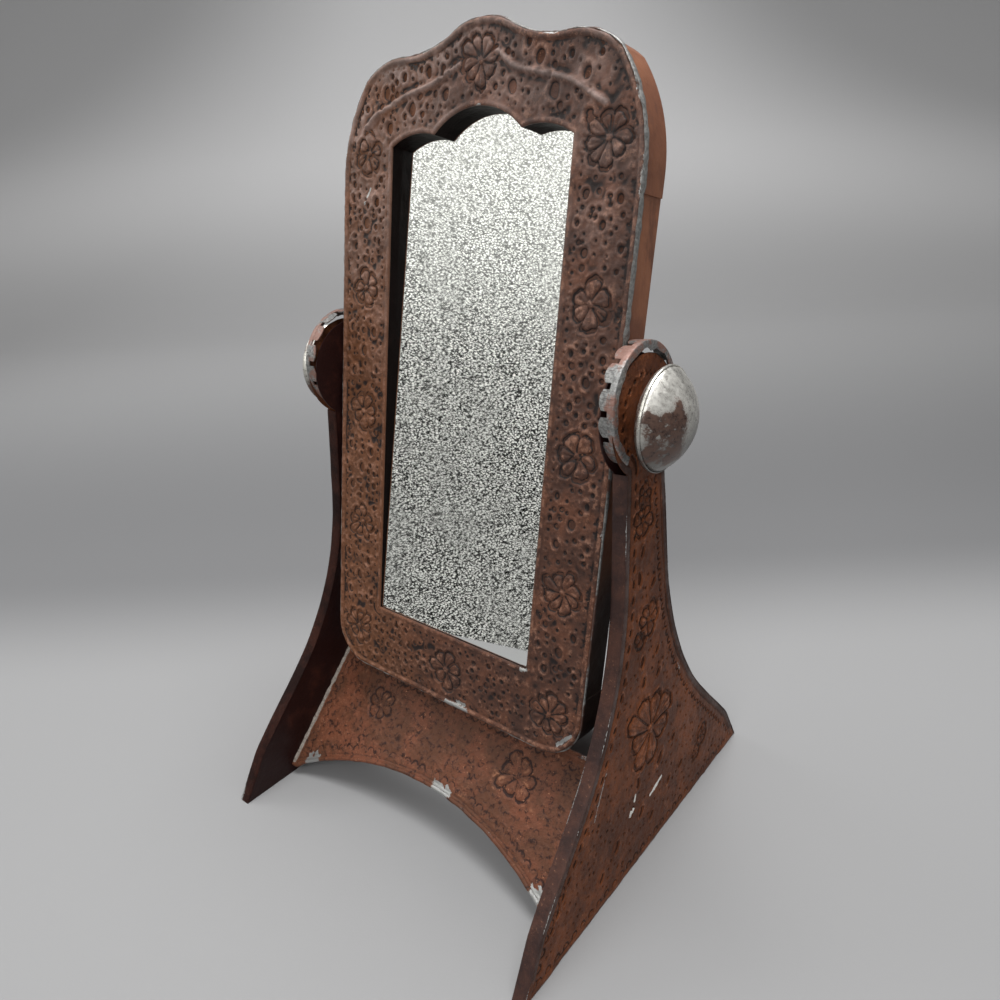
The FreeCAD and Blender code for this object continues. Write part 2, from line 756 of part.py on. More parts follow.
def thumb_screw():
    """Washer, domed knob front and back, and the screw that carries them."""
    washer_x = half_span + washer_gap
    back_x = washer_x + washer_thickness
    rim_x = back_x + knob_back_rise
    front_x = rim_x + knob_rim
    apex_x = front_x + knob_crown
    washer = turned([(washer_x, washer_radius), (back_x, washer_radius)], knob_sides)
    washer = washer.cut(bore(screw_radius, washer_x - overrun, back_x + overrun))

    # dished back with the rolled rim that grips the front
    rim_radius = knob_radius + knob_rim_proud
    bulge_x = back_x + knob_bulge_share * knob_back_rise
    bulge_radius = (knob_back_radius + rim_radius) / 2 + knob_rim_proud
    outside = arc_profile((back_x, knob_back_radius), (bulge_x, bulge_radius), (rim_x, rim_radius))
    inside = arc_profile((back_x + knob_sheet, knob_back_radius),
                         (bulge_x + knob_sheet, bulge_radius - knob_sheet / 2), (rim_x, knob_radius))
    back = turned(outside + [(front_x, rim_radius)], knob_sides)
    back = back.cut(turned(inside + [(front_x, knob_radius)], knob_sides))
    back = back.cut(bore(screw_radius, back_x - overrun, rim_x))

    # domed front, seated inside the rim
    ball = (knob_radius ** 2 + knob_crown ** 2) / (2 * knob_crown)
    inner_ball = ball - knob_sheet
    centre_x = apex_x - ball
    seat_radius = math.sqrt(inner_ball ** 2 - (front_x - centre_x) ** 2)

    def dome(radius, edge_radius):
        half_angle = math.asin(edge_radius / radius) / 2
        middle = (centre_x + radius * math.cos(half_angle), radius * math.sin(half_angle))
        return arc_profile((front_x, edge_radius), middle, (centre_x + radius, 0))

    front = turned([(rim_x, knob_radius)] + dome(ball, knob_radius), knob_sides)
    front = front.cut(turned([(rim_x, seat_radius)] + dome(inner_ball, seat_radius), knob_sides))

    head_x = back_x + knob_sheet
    head = hexagon(screw_head_across, head_x, screw_head_thickness)
    head.translate(pivot)
    shank = bore(screw_radius, box_half - screw_end_inset, head_x + screw_head_thickness / 2)
    return {"washer": washer, "knob_back": back, "knob_front": front, "screw": shank.fuse(head).removeSplitter()}


def main():
    os.makedirs("parts", exist_ok=True)
    both_sides(side_panel())

    save(apron(-1, front_arch_rise), "front_apron")
    save(apron(1, rear_arch_rise), "rear_apron")
    seams = []
    for sign in (-1, 1):
        right = seam(sign)
        seams += [right, mirrored(right)]
    save(Part.makeCompound(seams), "apron_solder")

    save(stand_up(mirror_face()), "mirror_face")
    save(stand_up(opening_lip()), "opening_lip")
    for name, shape in casing().items():
        save(stand_up(shape), name)
    save(stand_up(back_cover()), "back_cover")
    save(stand_up(glass_sheet(glass_cover, 0, glass_thickness)), "mirror_glass")
    board = glass_sheet(glass_cover - board_margin, glass_thickness, glass_thickness + board_thickness)
    save(stand_up(board), "backing_board")
    save(stand_up(glazing_tabs()), "glazing_tabs")
    for name, maker in (("pivot_nut", pivot_nut), ("pivot_plate", pivot_plate), ("spacer", pivot_spacer)):
        shape = maker()
        save(stand_up(shape), "right_" + name)
        save(stand_up(mirrored(shape)), "left_" + name)
    both_sides(thumb_screw())


main()
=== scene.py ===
import math
import random

import bmesh
import bpy
import numpy as np
from mathutils import Matrix, Vector, geometry, kdtree


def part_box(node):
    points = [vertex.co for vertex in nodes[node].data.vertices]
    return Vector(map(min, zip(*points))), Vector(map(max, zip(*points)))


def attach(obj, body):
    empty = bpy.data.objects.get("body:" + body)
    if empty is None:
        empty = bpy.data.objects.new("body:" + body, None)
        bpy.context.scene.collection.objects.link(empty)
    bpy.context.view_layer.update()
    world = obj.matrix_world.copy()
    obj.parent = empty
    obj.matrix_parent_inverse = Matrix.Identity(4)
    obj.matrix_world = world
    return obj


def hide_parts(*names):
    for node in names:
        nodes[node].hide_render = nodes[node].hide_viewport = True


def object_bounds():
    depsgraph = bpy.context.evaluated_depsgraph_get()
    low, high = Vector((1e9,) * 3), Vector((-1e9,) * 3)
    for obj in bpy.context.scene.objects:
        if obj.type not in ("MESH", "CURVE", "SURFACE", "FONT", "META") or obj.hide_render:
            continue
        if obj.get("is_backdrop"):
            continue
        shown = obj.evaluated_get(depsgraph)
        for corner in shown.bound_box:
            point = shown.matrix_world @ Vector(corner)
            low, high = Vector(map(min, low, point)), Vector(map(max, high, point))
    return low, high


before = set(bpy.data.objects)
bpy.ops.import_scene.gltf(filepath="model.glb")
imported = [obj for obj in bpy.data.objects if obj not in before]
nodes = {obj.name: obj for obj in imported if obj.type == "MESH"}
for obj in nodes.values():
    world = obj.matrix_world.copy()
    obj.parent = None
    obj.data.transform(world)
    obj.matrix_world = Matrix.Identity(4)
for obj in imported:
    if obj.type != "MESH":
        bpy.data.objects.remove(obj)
cad_low, cad_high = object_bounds()
mm = 0.001

# Camera: to the right of the mirror and above it, looking down on the front. It is a wide lens held
# close by, and it leans a little.
view_target = Vector((-6.1, 23.6, 170.8)) * mm
view_distance = 477.8 * mm
view_azimuth = 0.696
view_elevation = 0.438
view_roll = -0.049
view_lens = 27.64
view_rise = 0.0268

camera_data = bpy.data.cameras.new("camera")
camera_data.sensor_width = 36
camera_data.lens = view_lens
camera_data.shift_y = view_rise
camera_data.clip_start = 10 * mm
camera = bpy.data.objects.new("camera", camera_data)
backward = Vector((math.sin(view_azimuth) * math.cos(view_elevation),
                   -math.cos(view_azimuth) * math.cos(view_elevation), math.sin(view_elevation)))
level = (-backward).cross(Vector((0, 0, 1))).normalized()
rise = level.cross(-backward)
right = level * math.cos(view_roll) + rise * math.sin(view_roll)
upward = rise * math.cos(view_roll) - level * math.sin(view_roll)
axes = Matrix((right, upward, backward)).transposed().to_4x4()
camera.matrix_world = Matrix.Translation(view_target + backward * view_distance) @ axes
bpy.context.scene.collection.objects.link(camera)
bpy.context.scene.camera = camera

# Studio: a pale sweep of paper, with painted shade just behind the object and painted light where it
# rises, dimmer toward the sides high up; soft lamps overhead and in front; and a crinkled screen that
# glows with painted light, which only reflections see, standing where the glass looks.
floor_grey = (0.335, 0.335, 0.338, 1)
# painted shade of the paper just behind the object, and painted light where it rises
painted_shade_grey = (0.200, 0.201, 0.205, 1)
painted_light_grey = (0.97, 0.97, 0.975, 1)
sweep_half = 9.0
sweep_depth = 1.6
sweep_radius = 0.9
sweep_height = 3.0
sweep_steps = 12                   # of the curve where it rises
screen_bright = 1.4
screen_dark = 0.02
screen_pebble = 290
screen_flat = 1.7                  # how much flatter than wide its pebbles are
screen_tint = (1.0, 1.0, 0.955)
screen_spot = (-0.30, -0.41, 0)
screen_half = 1.3
screen_height = 1.5
room_grey = (0.85, 0.845, 0.84, 1)
room_glow = 0.42


def finish(name):
    """New material with its shader and the place on the object."""
    material = bpy.data.materials.new(name)
    material.use_nodes = True
    place = material.node_tree.nodes.new("ShaderNodeTexCoord").outputs["Object"]
    return material, material.node_tree.nodes["Principled BSDF"], place


def node_after(value, kind):
    """New node of a kind, in the tree that the value comes from."""
    return value.id_data.nodes.new("ShaderNode" + kind)


def put(value, socket):
    """Give a socket a number, a colour or what another node gives."""
    if isinstance(value, (int, float, tuple)):
        socket.default_value = value
    else:
        value.id_data.links.new(value, socket)


def dress(shader, colour, rough, skin=None, metal=0.0, gloss=0.5):
    """Give the shader its colour, roughness and the like, each a number, a colour or from a node."""
    sockets = ("Base Color", "Roughness", "Metallic", "Specular IOR Level")
    for socket, value in zip(sockets, (colour, rough, metal, gloss)):
        put(value, shader.inputs[socket])
    if skin:
        put(skin, shader.inputs["Normal"])


def apart(place):
    """The three coordinates of a place."""
    node = node_after(place, "SeparateXYZ")
    put(place, node.inputs["Vector"])
    return node.outputs


def stretched(place, stretch):
    """Place with each of its coordinates stretched."""
    node = node_after(place, "Mapping")
    put(stretch, node.inputs["Scale"])
    put(place, node.inputs["Vector"])
    return node.outputs["Vector"]


def noise(place, scale, detail=4.0, rough=0.6, stretch=None):
    """Cloudy values from 0 to 1; scale is per metre."""
    if stretch:
        place = stretched(place, stretch)
    node = node_after(place, "TexNoise")
    for socket, value in zip(("Scale", "Detail", "Roughness", "Vector"), (scale, detail, rough, place)):
        put(value, node.inputs[socket])
    return node.outputs["Fac"]


def between(value, low, high, start=0.0, end=1.0):
    """Smooth step of a value from low to high."""
    node = node_after(value, "MapRange")
    node.interpolation_type = "SMOOTHSTEP"
    for socket, number in zip(node.inputs, (value, low, high, start, end)):
        put(number, socket)
    return node.outputs["Result"]


def reckon(operation, first, second):
    """Sum, product or the like of two values; the first comes from a node."""
    node = node_after(first, "Math")
    node.operation = operation
    put(first, node.inputs[0])
    put(second, node.inputs[1])
    return node.outputs["Value"]


def mixed(share, first, second):
    """Colour between two, each given or from a node."""
    node = node_after(share, "Mix")
    node.data_type = "RGBA"
    for socket, value in zip((node.inputs["Factor"], *node.inputs[6:8]), (share, first, second)):
        put(value, socket)
    return node.outputs[2]


def bump(height, distance, before=None):
    """Fine surface from a height value, over an earlier one if there is one."""
    node = node_after(height, "Bump")
    put(distance, node.inputs["Distance"])
    put(height, node.inputs["Height"])
    if before:
        put(before, node.inputs["Normal"])
    return node.outputs["Normal"]


def mesh_piece(name, points, faces):
    """New smooth object from points in metres."""
    mesh = bpy.data.meshes.new(name)
    mesh.from_pydata([tuple(p) for p in points], [], [tuple(f) for f in faces])
    mesh.validate()
    for polygon in mesh.polygons:
        polygon.use_smooth = True
    piece = bpy.data.objects.new(name, mesh)
    bpy.context.scene.collection.objects.link(piece)
    return piece


paper, shader, place = finish("paper")
aside, back, up = apart(place)
# Painted light and shade on the paper: paler further back and higher up, less so toward the sides.
corner = between(reckon("MULTIPLY", up, reckon("ABSOLUTE", aside, 0)), 0.20, 0.91, 1.0, 0.44)
away = between(back, 0.40, 1.7, 0, 0.46)
raised = reckon("MULTIPLY", reckon("ADD", away, between(up, 0, 0.45, 0, 0.54)), corner)
colour = mixed(between(back, 0.11, 0.31), floor_grey, painted_shade_grey)
dress(shader, mixed(raised, colour, painted_light_grey), 0.9, bump(noise(place, 900), 0.05 * mm), gloss=0.1)
profile = [(-sweep_half, 0.0), (sweep_depth, 0.0)]
for step in range(sweep_steps):
    angle = math.radians(90) * (step + 1) / sweep_steps
    profile.append((sweep_depth + sweep_radius * math.sin(angle), sweep_radius * (1 - math.cos(angle))))
profile.append((sweep_depth + sweep_radius, sweep_height))
points = [(x, y, z) for y, z in profile for x in (-sweep_half, sweep_half)]
faces = [(2 * i, 2 * i + 1, 2 * i + 3, 2 * i + 2) for i in range(len(profile) - 1)]
sweep = mesh_piece("sweep", points, faces)
sweep.data.materials.append(paper)
sweep.matrix_world = Matrix.Rotation(view_azimuth, 4, "Z")
sweep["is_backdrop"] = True

# The screen glows though it is no lamp: its crinkled pebbles, brighter toward the top, are a painted
# reflection for the glass and the metal.
glowing_sheet, shader, place = finish("glowing_screen")
up = apart(place)["Z"]
flat_place = stretched(place, (1, 1, screen_flat))
pebbles = node_after(place, "TexVoronoi")
pebbles.feature = "DISTANCE_TO_EDGE"
put(screen_pebble, pebbles.inputs["Scale"])
put(flat_place, pebbles.inputs["Vector"])
crinkle = reckon("ADD", pebbles.outputs["Distance"], noise(flat_place, 1.2 * screen_pebble, 2))
glow = between(crinkle, 0.635, 0.675, screen_dark, screen_bright)
glow = reckon("MULTIPLY", glow, between(up, 0.12, 0.58, 0.60, 1.05))
glow = reckon("ADD", glow, between(up, 0.28, 0.62, 0.0, 0.42))
tint = node_after(place, "CombineColor")
for socket, share in zip(tint.inputs, screen_tint):
    put(reckon("MULTIPLY", glow, share), socket)
emitter = node_after(place, "Emission")
put(tint.outputs["Color"], emitter.inputs["Color"])
put(emitter.outputs["Emission"], glowing_sheet.node_tree.nodes["Material Output"].inputs["Surface"])
screen_turn = math.atan2(screen_spot[0], -screen_spot[1])
points = [(screen_half * x, 0, screen_height * z) for x, z in ((-1, 0), (1, 0), (1, 1), (-1, 1))]
screen = mesh_piece("screen", points, [(0, 1, 2, 3)])
screen.data.materials.append(glowing_sheet)
screen.matrix_world = Matrix.Translation(screen_spot) @ Matrix.Rotation(screen_turn, 4, "Z")
for way in ("camera", "diffuse", "transmission", "shadow", "volume_scatter"):
    setattr(screen, "visible_" + way, False)
screen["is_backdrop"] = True

world = bpy.data.worlds.new("studio")
world.use_nodes = True
put(room_grey, world.node_tree.nodes["Background"].inputs["Color"])
put(room_glow, world.node_tree.nodes["Background"].inputs["Strength"])
bpy.context.scene.world = world


def lamp(name, spot, size, power):
    """Square soft lamp that faces the middle of the mirror."""
    data = bpy.data.lights.new(name, "AREA")
    data.size = size
    data.energy = power
    holder = bpy.data.objects.new(name, data)
    holder.location = spot
    holder.rotation_euler = (view_target - Vector(spot)).to_track_quat("-Z", "Y").to_euler()
    bpy.context.scene.collection.objects.link(holder)


lamp("lamp_above", (0.1, 0.15, 1.5), 0.8, 21)
lamp("lamp_front", (0.5, -1.3, 1.1), 0.7, 8)
lamp("lamp_left", (-1.3, -0.4, 0.9), 0.7, 6)
bpy.context.scene.view_settings.view_transform = "Standard"

# Side panels, outer faces: tin sheet embossed with flowers, rings of punched dots and a scalloped
# border, then painted brown over the metal. The sheet is soldered to the edge strips round it.
knob_low, knob_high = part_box("right_knob_back")
pivot = Vector((0, (knob_low.y + knob_high.y) / 2, (knob_low.z + knob_high.z) / 2))
sides = (("right", 1), ("left", -1))
panel_sheet = 0.7
panel_spacing = 0.85
neck_bud = (-1.0, -44.5, 7.0, 6, 0.2)         # across, up from the pivot, radius, petals, turn
neck_flower = (-2.5, -56.5, 9.5, 6, 0.7)
waist_flower = (1.5, -114.5, 10.5, 6, 0.9)
waist_bud = (-7.5, -123, 5.5, 3, 0.6)
foot_flower = (1.5, -184.0, 24.5, 8, 0.22)
toe_flower = (70, -235.0, 7.5, 5, 1.1)
toe_bud = (61.5, -243.5, 6.0, 5, 0.4)
panel_flowers = [neck_bud, neck_flower, waist_flower, waist_bud, foot_flower, toe_flower, toe_bud]
deep_leaves = [(-7.2, -87.0, 2.5, 0.0), (-5.3, -137.5, 2.4, 0.3), (-3.9, -151.0, 2.2, 0.2),
               (10.6, -137.7, 1.7, 0.6), (11.4, -153.0, 1.7, 0.5), (6.6, -94.7, 1.8, 0.7),
               (-11.8, -214.0, 2.4, 0.0), (13.2, -213.4, 2.8, 0.7), (39.9, -237.0, 2.0, 0.9),
               (-4.0, -73.0, 2.0, 0.3), (-9.0, -237.0, 2.4, 0.4), (-36.0, -241.0, 2.4, 0.5),
               (-52.0, -250.0, 2.0, 0.6), (24.0, -238.0, 1.8, 0.8), (3.0, -249.0, 2.0, 0.7),
               (30.0, -210.0, 1.7, 0.8)]      # across, up, radius, slant
white_chips = [(16.1, -229.0, 2.0, -233.0, 2.0), (10.0, -231.2, 6.0, -232.4, 2.8),
               (-14.5, -221.0, -15.5, -224.0, 2.2), (-17.0, -229.0, -21.0, -231.0, 2.0),
               (-20.0, -228.5, -21.5, -231.0, 1.8)]      # from, to, width
band_rubs = [(-44.0, -184.0, -57.0, -207.0, 2.6), (35.0, -160.0, 38.0, -166.0, 2.2)]
head_dots, head_dot_ring = 22, 23.0
panel_dents = 5.8                             # between the scattered dents
swell_waves = 26
front_stroke_inset, front_stroke_pitch = 8.6, 8.4
rear_scallops = (8.0, 6.2, 1.9, 0.95)         # inset, pitch, radius, depth
foot_scallops = (5.4, 8.0, 2.2, 0.8)
inner_dots = (11.5, 6.2, 0.6, 0.35)
foot_top, floor_line = -225, -247             # up from the pivot, where the foot's borders run
margin_band = 3.7                             # flat band soldered over the sheet's front and rear edges
band_greys = ((0.040, 0.022, 0.018, 1), (0.085, 0.068, 0.066, 1))
# crests partly rubbed, partly painted highlight; the copper specks are painted glints
crest_copper = (0.42, 0.165, 0.085, 1)
copper_glint = (0.55, 0.26, 0.14, 1)
bare_grey = (0.42, 0.42, 0.41, 1)
undercoat_white = (0.78, 0.77, 0.72, 1)


def flat_side(node, guess, about):
    """Plane and outlines, in millimetres, of the flat side of a CAD sheet that looks along guess."""
    mesh = nodes[node].data
    mesh.calc_loop_triangles()
    spots = np.array([vertex.co for vertex in mesh.vertices])
    corners = np.array([triangle.vertices for triangle in mesh.loop_triangles])
    normals = np.array([triangle.normal for triangle in mesh.loop_triangles])
    areas = np.array([triangle.area for triangle in mesh.loop_triangles])
    kinds = np.unique(np.round(normals, 3), axis=0)
    kinds = kinds[kinds @ np.array(guess) > 0.97]
    sums = [areas[np.abs(normals - kind).max(1) < 0.002].sum() for kind in kinds]
    towards = kinds[int(np.argmax(sums))]
    towards = normals[np.abs(normals - towards).max(1) < 0.002].mean(0)
    looking = normals @ towards > 0.9999
    depth = spots[corners].mean(1) @ towards
    levels = np.unique(np.round(depth[looking] / (0.1 * mm)))
    spread = [areas[looking & (np.abs(depth / (0.1 * mm) - level) < 0.6)].sum() for level in levels]
    chosen = corners[looking & (np.abs(depth / (0.1 * mm) - levels[int(np.argmax(spread))]) < 0.6)]
    keys = {}
    names = [keys.setdefault(tuple(np.round(spot / (0.001 * mm)).astype(int)), index)
             for index, spot in enumerate(spots)]
    pairs = set()
    for triangle in chosen:
        a, b, c = (names[index] for index in triangle)
        pairs |= {(a, b), (b, c), (c, a)}
    follows = {a: b for a, b in pairs if (b, a) not in pairs}
    out = Vector(-towards).normalized()
    side = 1 if out.x >= -0.5 else -1
    across = Vector((0, side, 0)) if abs(out.x) > 0.5 else Vector((-1 if out.y > 0 else 1, 0, 0))
    up = out.cross(across).normalized()
    level = Vector(spots[chosen[0][0]]).dot(out)
    origin = about + out * (level - about.dot(out))
    loops = []
    while follows:
        start, spot = follows.popitem()
        loop = [start]
        while spot != start:
            loop.append(spot)
            spot = follows.pop(spot)
        offsets = [Vector(spots[index]) - origin for index in loop]
        loops.append(np.array([(offset.dot(across), offset.dot(up)) for offset in offsets]) / mm)
    loops.sort(key=lambda loop: -np.ptp(loop[:, 1]))
    return {"origin": origin, "across": across, "up": up, "out": out, "loops": loops}


def fine(loop, spacing):
    """The same closed outline with more points along its long stretches."""
    points = []
    for a, b in zip(loop, np.roll(loop, -1, 0)):
        count = max(1, math.ceil(math.hypot(*(b - a)) / spacing))
        points += [a + (b - a) * step / count for step in range(count)]
    return np.array(points)


def inside(spots, loops):
    """True for each spot that lies within the outlines, and not in a hole."""
    result = np.zeros(len(spots), bool)
    for first in range(0, len(spots), 4000):
        u, v = spots[first:first + 4000].T[:, :, None]
        for loop in loops:
            (u0, v0), (u1, v1) = loop.T[:, None, :], np.roll(loop, -1, 0).T[:, None, :]
            crossing = (v0 > v) != (v1 > v)
            reach = u0 + (v - v0) * (u1 - u0) / np.where(v1 == v0, 1, v1 - v0)
            result[first:first + 4000] ^= (crossing & (u < reach)).sum(1) % 2 == 1
    return result


def held(value):
    """Value kept between 0 and 1."""
    return np.clip(value, 0, 1)


def along(loop, spots):
    """Distance from a closed outline, and place along it, for many spots."""
    step = np.roll(loop, -1, 0) - loop
    length = np.hypot(*step.T)
    start = np.cumsum(length) - length
    tree = kdtree.KDTree(len(loop))
    for index, (u, v) in enumerate(loop):
        tree.insert((u, v, 0), index)
    tree.balance()
    near = np.array([tree.find((u, v, 0))[1] for u, v in spots])
    gaps, places = [], []
    for first in (near, near - 1):
        share = held(((spots - loop[first]) * step[first]).sum(1) / length[first] ** 2)
        gaps.append(np.hypot(*(spots - loop[first] - step[first] * share[:, None]).T))
        places.append(start[first] + share * length[first])
    closer = gaps[0] < gaps[1]
    return np.where(closer, *gaps), np.where(closer, *places)


def covered(loops, spacing):
    """Triangles over a flat outline, with a honeycomb of spots inside it."""
    rims = [fine(loop, spacing) for loop in loops]
    rim = np.concatenate(rims)
    edges, first = [], 0
    for loop in rims:
        edges += [(first + i, first + (i + 1) % len(loop)) for i in range(len(loop))]
        first += len(loop)
    low, high = rim.min(0), rim.max(0)
    row_gap = spacing * math.sqrt(3) / 2
    spots = [(low[0] + spacing * (column + 0.5 * (row % 2)), low[1] + row_gap * row)
             for row in range(int((high[1] - low[1]) / row_gap) + 1)
             for column in range(int((high[0] - low[0]) / spacing) + 1)]
    spots = np.array(spots)
    spots = spots[inside(spots, loops)]
    for loop in rims:
        spots = spots[along(loop, spots)[0] > 0.55 * spacing]
    given = [Vector(spot) for spot in np.concatenate([rim, spots])]
    verts, _, faces, _, _, _ = geometry.delaunay_2d_cdt(given, edges, [], 0, 1e-6, False)
    verts = np.array(verts)
    faces = np.array(faces)
    return verts, faces[inside(verts[faces].mean(1), loops)], rims


def sheet_piece(name, plane, relief, thickness, spacing):
    """Closed embossed sheet over a CAD sheet's outline, its front beaten into the given relief.

    relief takes the spots and the outlines and gives the height at each spot in millimetres, and
    how far each is worn to the metal, chipped to the undercoat, and covered by a band or by painted
    light, from 0 to 1.
    """
    verts, faces, rims = covered(plane["loops"], spacing)
    height, worn, chipped, band = relief(verts[:, 0], verts[:, 1], rims)
    origin, across, up, out = (np.array(plane[key]) for key in ("origin", "across", "up", "out"))
    flat = origin + (verts[:, :1] * across + verts[:, 1:] * up) * mm
    front = flat + out * (thickness + height[:, None]) * mm
    turned = np.cross(verts[faces[:, 1]] - verts[faces[:, 0]], verts[faces[:, 2]] - verts[faces[:, 0]])
    faces[turned < 0] = faces[turned < 0][:, ::-1]
    pairs = {(a, b) for f in faces.tolist() for a, b in ((f[0], f[1]), (f[1], f[2]), (f[2], f[0]))}
    rim = [(a, b) for a, b in pairs if (b, a) not in pairs]
    ends = sorted({a for a, _ in rim})
    place = {index: len(front) + k for k, index in enumerate(ends)}
    given = [Vector(verts[index]) for index in ends]
    short = {index: k for k, index in enumerate(ends)}
    rim_edges = [(short[a], short[b]) for a, b in rim]
    plain, _, back, _, _, _ = geometry.delaunay_2d_cdt(given, rim_edges, [], 0, 1e-6, False)
    plain, back = np.array(plain), np.array(back)
    back = back[inside(plain[back].mean(1), plane["loops"])]
    turned = np.cross(plain[back[:, 1]] - plain[back[:, 0]], plain[back[:, 2]] - plain[back[:, 0]])
    back[turned > 0] = back[turned > 0][:, ::-1]
    closed = faces.tolist() + (back + len(front)).tolist()
    closed += [(place[a], place[b], b, a) for a, b in rim]
    piece = mesh_piece(name, np.concatenate([front, flat[ends]]), closed)
    marks = piece.data.color_attributes.new(name="relief", type="FLOAT_COLOR", domain="POINT")
    shades = np.ones((len(front) + len(ends), 4))
    shades[:len(front), 0] = held(0.5 + 0.5 * height)
    shades[:len(front), 1] = worn
    shades[:len(front), 2] = chipped
    shades[:len(front), 3] = band
    shades[len(front):] = (0.4, 0, 0, 0)
    marks.data.foreach_set("color", shades.ravel())
    return piece


def hump(gap, width):
    """1 where the gap is nothing, falling smoothly to 0 on both sides."""
    return np.exp(-(gap / width) ** 2)


def pit(gap, radius, depth, lip):
    """Round dent with a raised lip, by distance from its middle."""
    sunk = np.clip(1 - (gap / radius) ** 2, 0, None)
    return lip * hump(gap / radius - 1.25, 0.3) - depth * sunk


def flower(u, v, middle_u, middle_v, radius, petals, turn):
    """Pillowed petals that grooves part and outline, each with rib lines, round a small boss."""
    bend = radius * 0.07
    x = u - middle_u + bend * np.sin(v * 4.1 / radius + middle_v)
    y = v - middle_v + bend * np.sin(u * 3.7 / radius + middle_u)
    far, angle = np.hypot(x, y), 2 * math.pi / petals
    lobe = (np.arctan2(y, x) - turn) / angle
    swing = np.mod(lobe + 0.5, 1) - 0.5
    petal = np.floor(lobe + 0.5)
    reach = radius * (0.94 + 0.09 * np.sin(petal * 2.4 + middle_u))
    tip = 0.30 * np.sqrt(held(1 - (2.02 * swing) ** 2))
    rim = reach * (0.68 + tip + 0.04 * np.abs(np.cos(3 * math.pi * swing)))
    within = held(far / rim)
    aside = far * np.sin((0.5 - np.abs(swing)) * angle)
    inner = far < rim
    cheek = held(aside / (0.16 * radius)) ** 0.7
    swollen = (0.45 + 0.55 * within ** 2) * (1 - within ** 8) * cheek
    result = np.where(inner, 0.72 * swollen, 0)
    result -= 0.8 * hump(aside, 0.7) * inner * (far > 0.12 * radius)
    result -= 1.15 * hump(far - rim + 0.3, 1.15)
    result += 0.42 * hump(far - rim - 1.9, 0.8)
    rib = far * np.sin(np.abs(swing) * angle)
    result -= 0.45 * hump(rib, 0.5) * (far < 0.85 * rim) * (far > 0.2 * radius)
    if radius > 15:
        side_rib = far * np.sin((np.abs(swing) - 0.2) * angle)
        result -= 0.25 * hump(side_rib, 0.5) * (far < 0.95 * rim) * (far > 0.5 * radius)
    result += 0.5 * np.exp(-(far / (0.11 * radius)) ** 4)
    return min(1.25, 0.6 + radius / 30) * np.where(far < 1.3 * radius, result, 0)


def swell(u, v, seed, size):
    """Slow, uneven rise and fall of hand-beaten sheet, about -1 to 1."""
    draw = np.random.default_rng(seed)
    result = np.zeros_like(u)
    for _ in range(swell_waves):
        angle, phase = draw.uniform(0, math.pi), draw.uniform(0, 2 * math.pi)
        turn = 2 * math.pi / (size * draw.uniform(0.6, 1.6))
        result += np.cos(turn * (u * math.cos(angle) + v * math.sin(angle)) + phase)
    return result / math.sqrt(swell_waves)


def scattered(seed, spacing, loops, keep_off, margins):
    """Middles spread evenly at random over an outline, off its rims and off the round places given."""
    draw = random.Random(seed)
    low, high = loops[0].min(0), loops[0].max(0)
    columns, rows = ((high - low) / spacing).astype(int) + 1
    spots = [(low[0] + spacing * (column + draw.uniform(0.15, 0.85)),
              low[1] + spacing * (row + draw.uniform(0.15, 0.85)))
             for row in range(rows) for column in range(columns)]
    spots = np.array(spots)
    spots = spots[inside(spots, loops)]
    for loop, margin in zip(loops, margins):
        spots = spots[along(loop, spots)[0] > margin]
    for u, v, radius in keep_off:
        spots = spots[np.hypot(spots[:, 0] - u, spots[:, 1] - v) > radius]
    return spots


def scallops(gap, place, inset, pitch, radius, depth):
    """Row of half-round tool marks that stand along an outline."""
    aside = np.mod(place, pitch) - pitch / 2
    ring = np.hypot(aside, gap - inset) - radius
    return -depth * hump(ring, 0.45) * (gap > inset - 0.3)


def dots(gap, place, inset, pitch, radius, depth):
    """Row of punched dots along an outline."""
    aside = np.mod(place, pitch) - pitch / 2
    return pit(np.hypot(aside, gap - inset), radius, depth, 0.3 * depth)


def near_stroke(u, v, u0, v0, u1, v1, width):
    """1 on a short stroke, falling to 0 at a width from it."""
    run = np.array([u1 - u0, v1 - v0])
    share = held(((u - u0) * run[0] + (v - v0) * run[1]) / max(run @ run, 0.01))
    return held(1 - np.hypot(u - u0 - share * run[0], v - v0 - share * run[1]) / width)


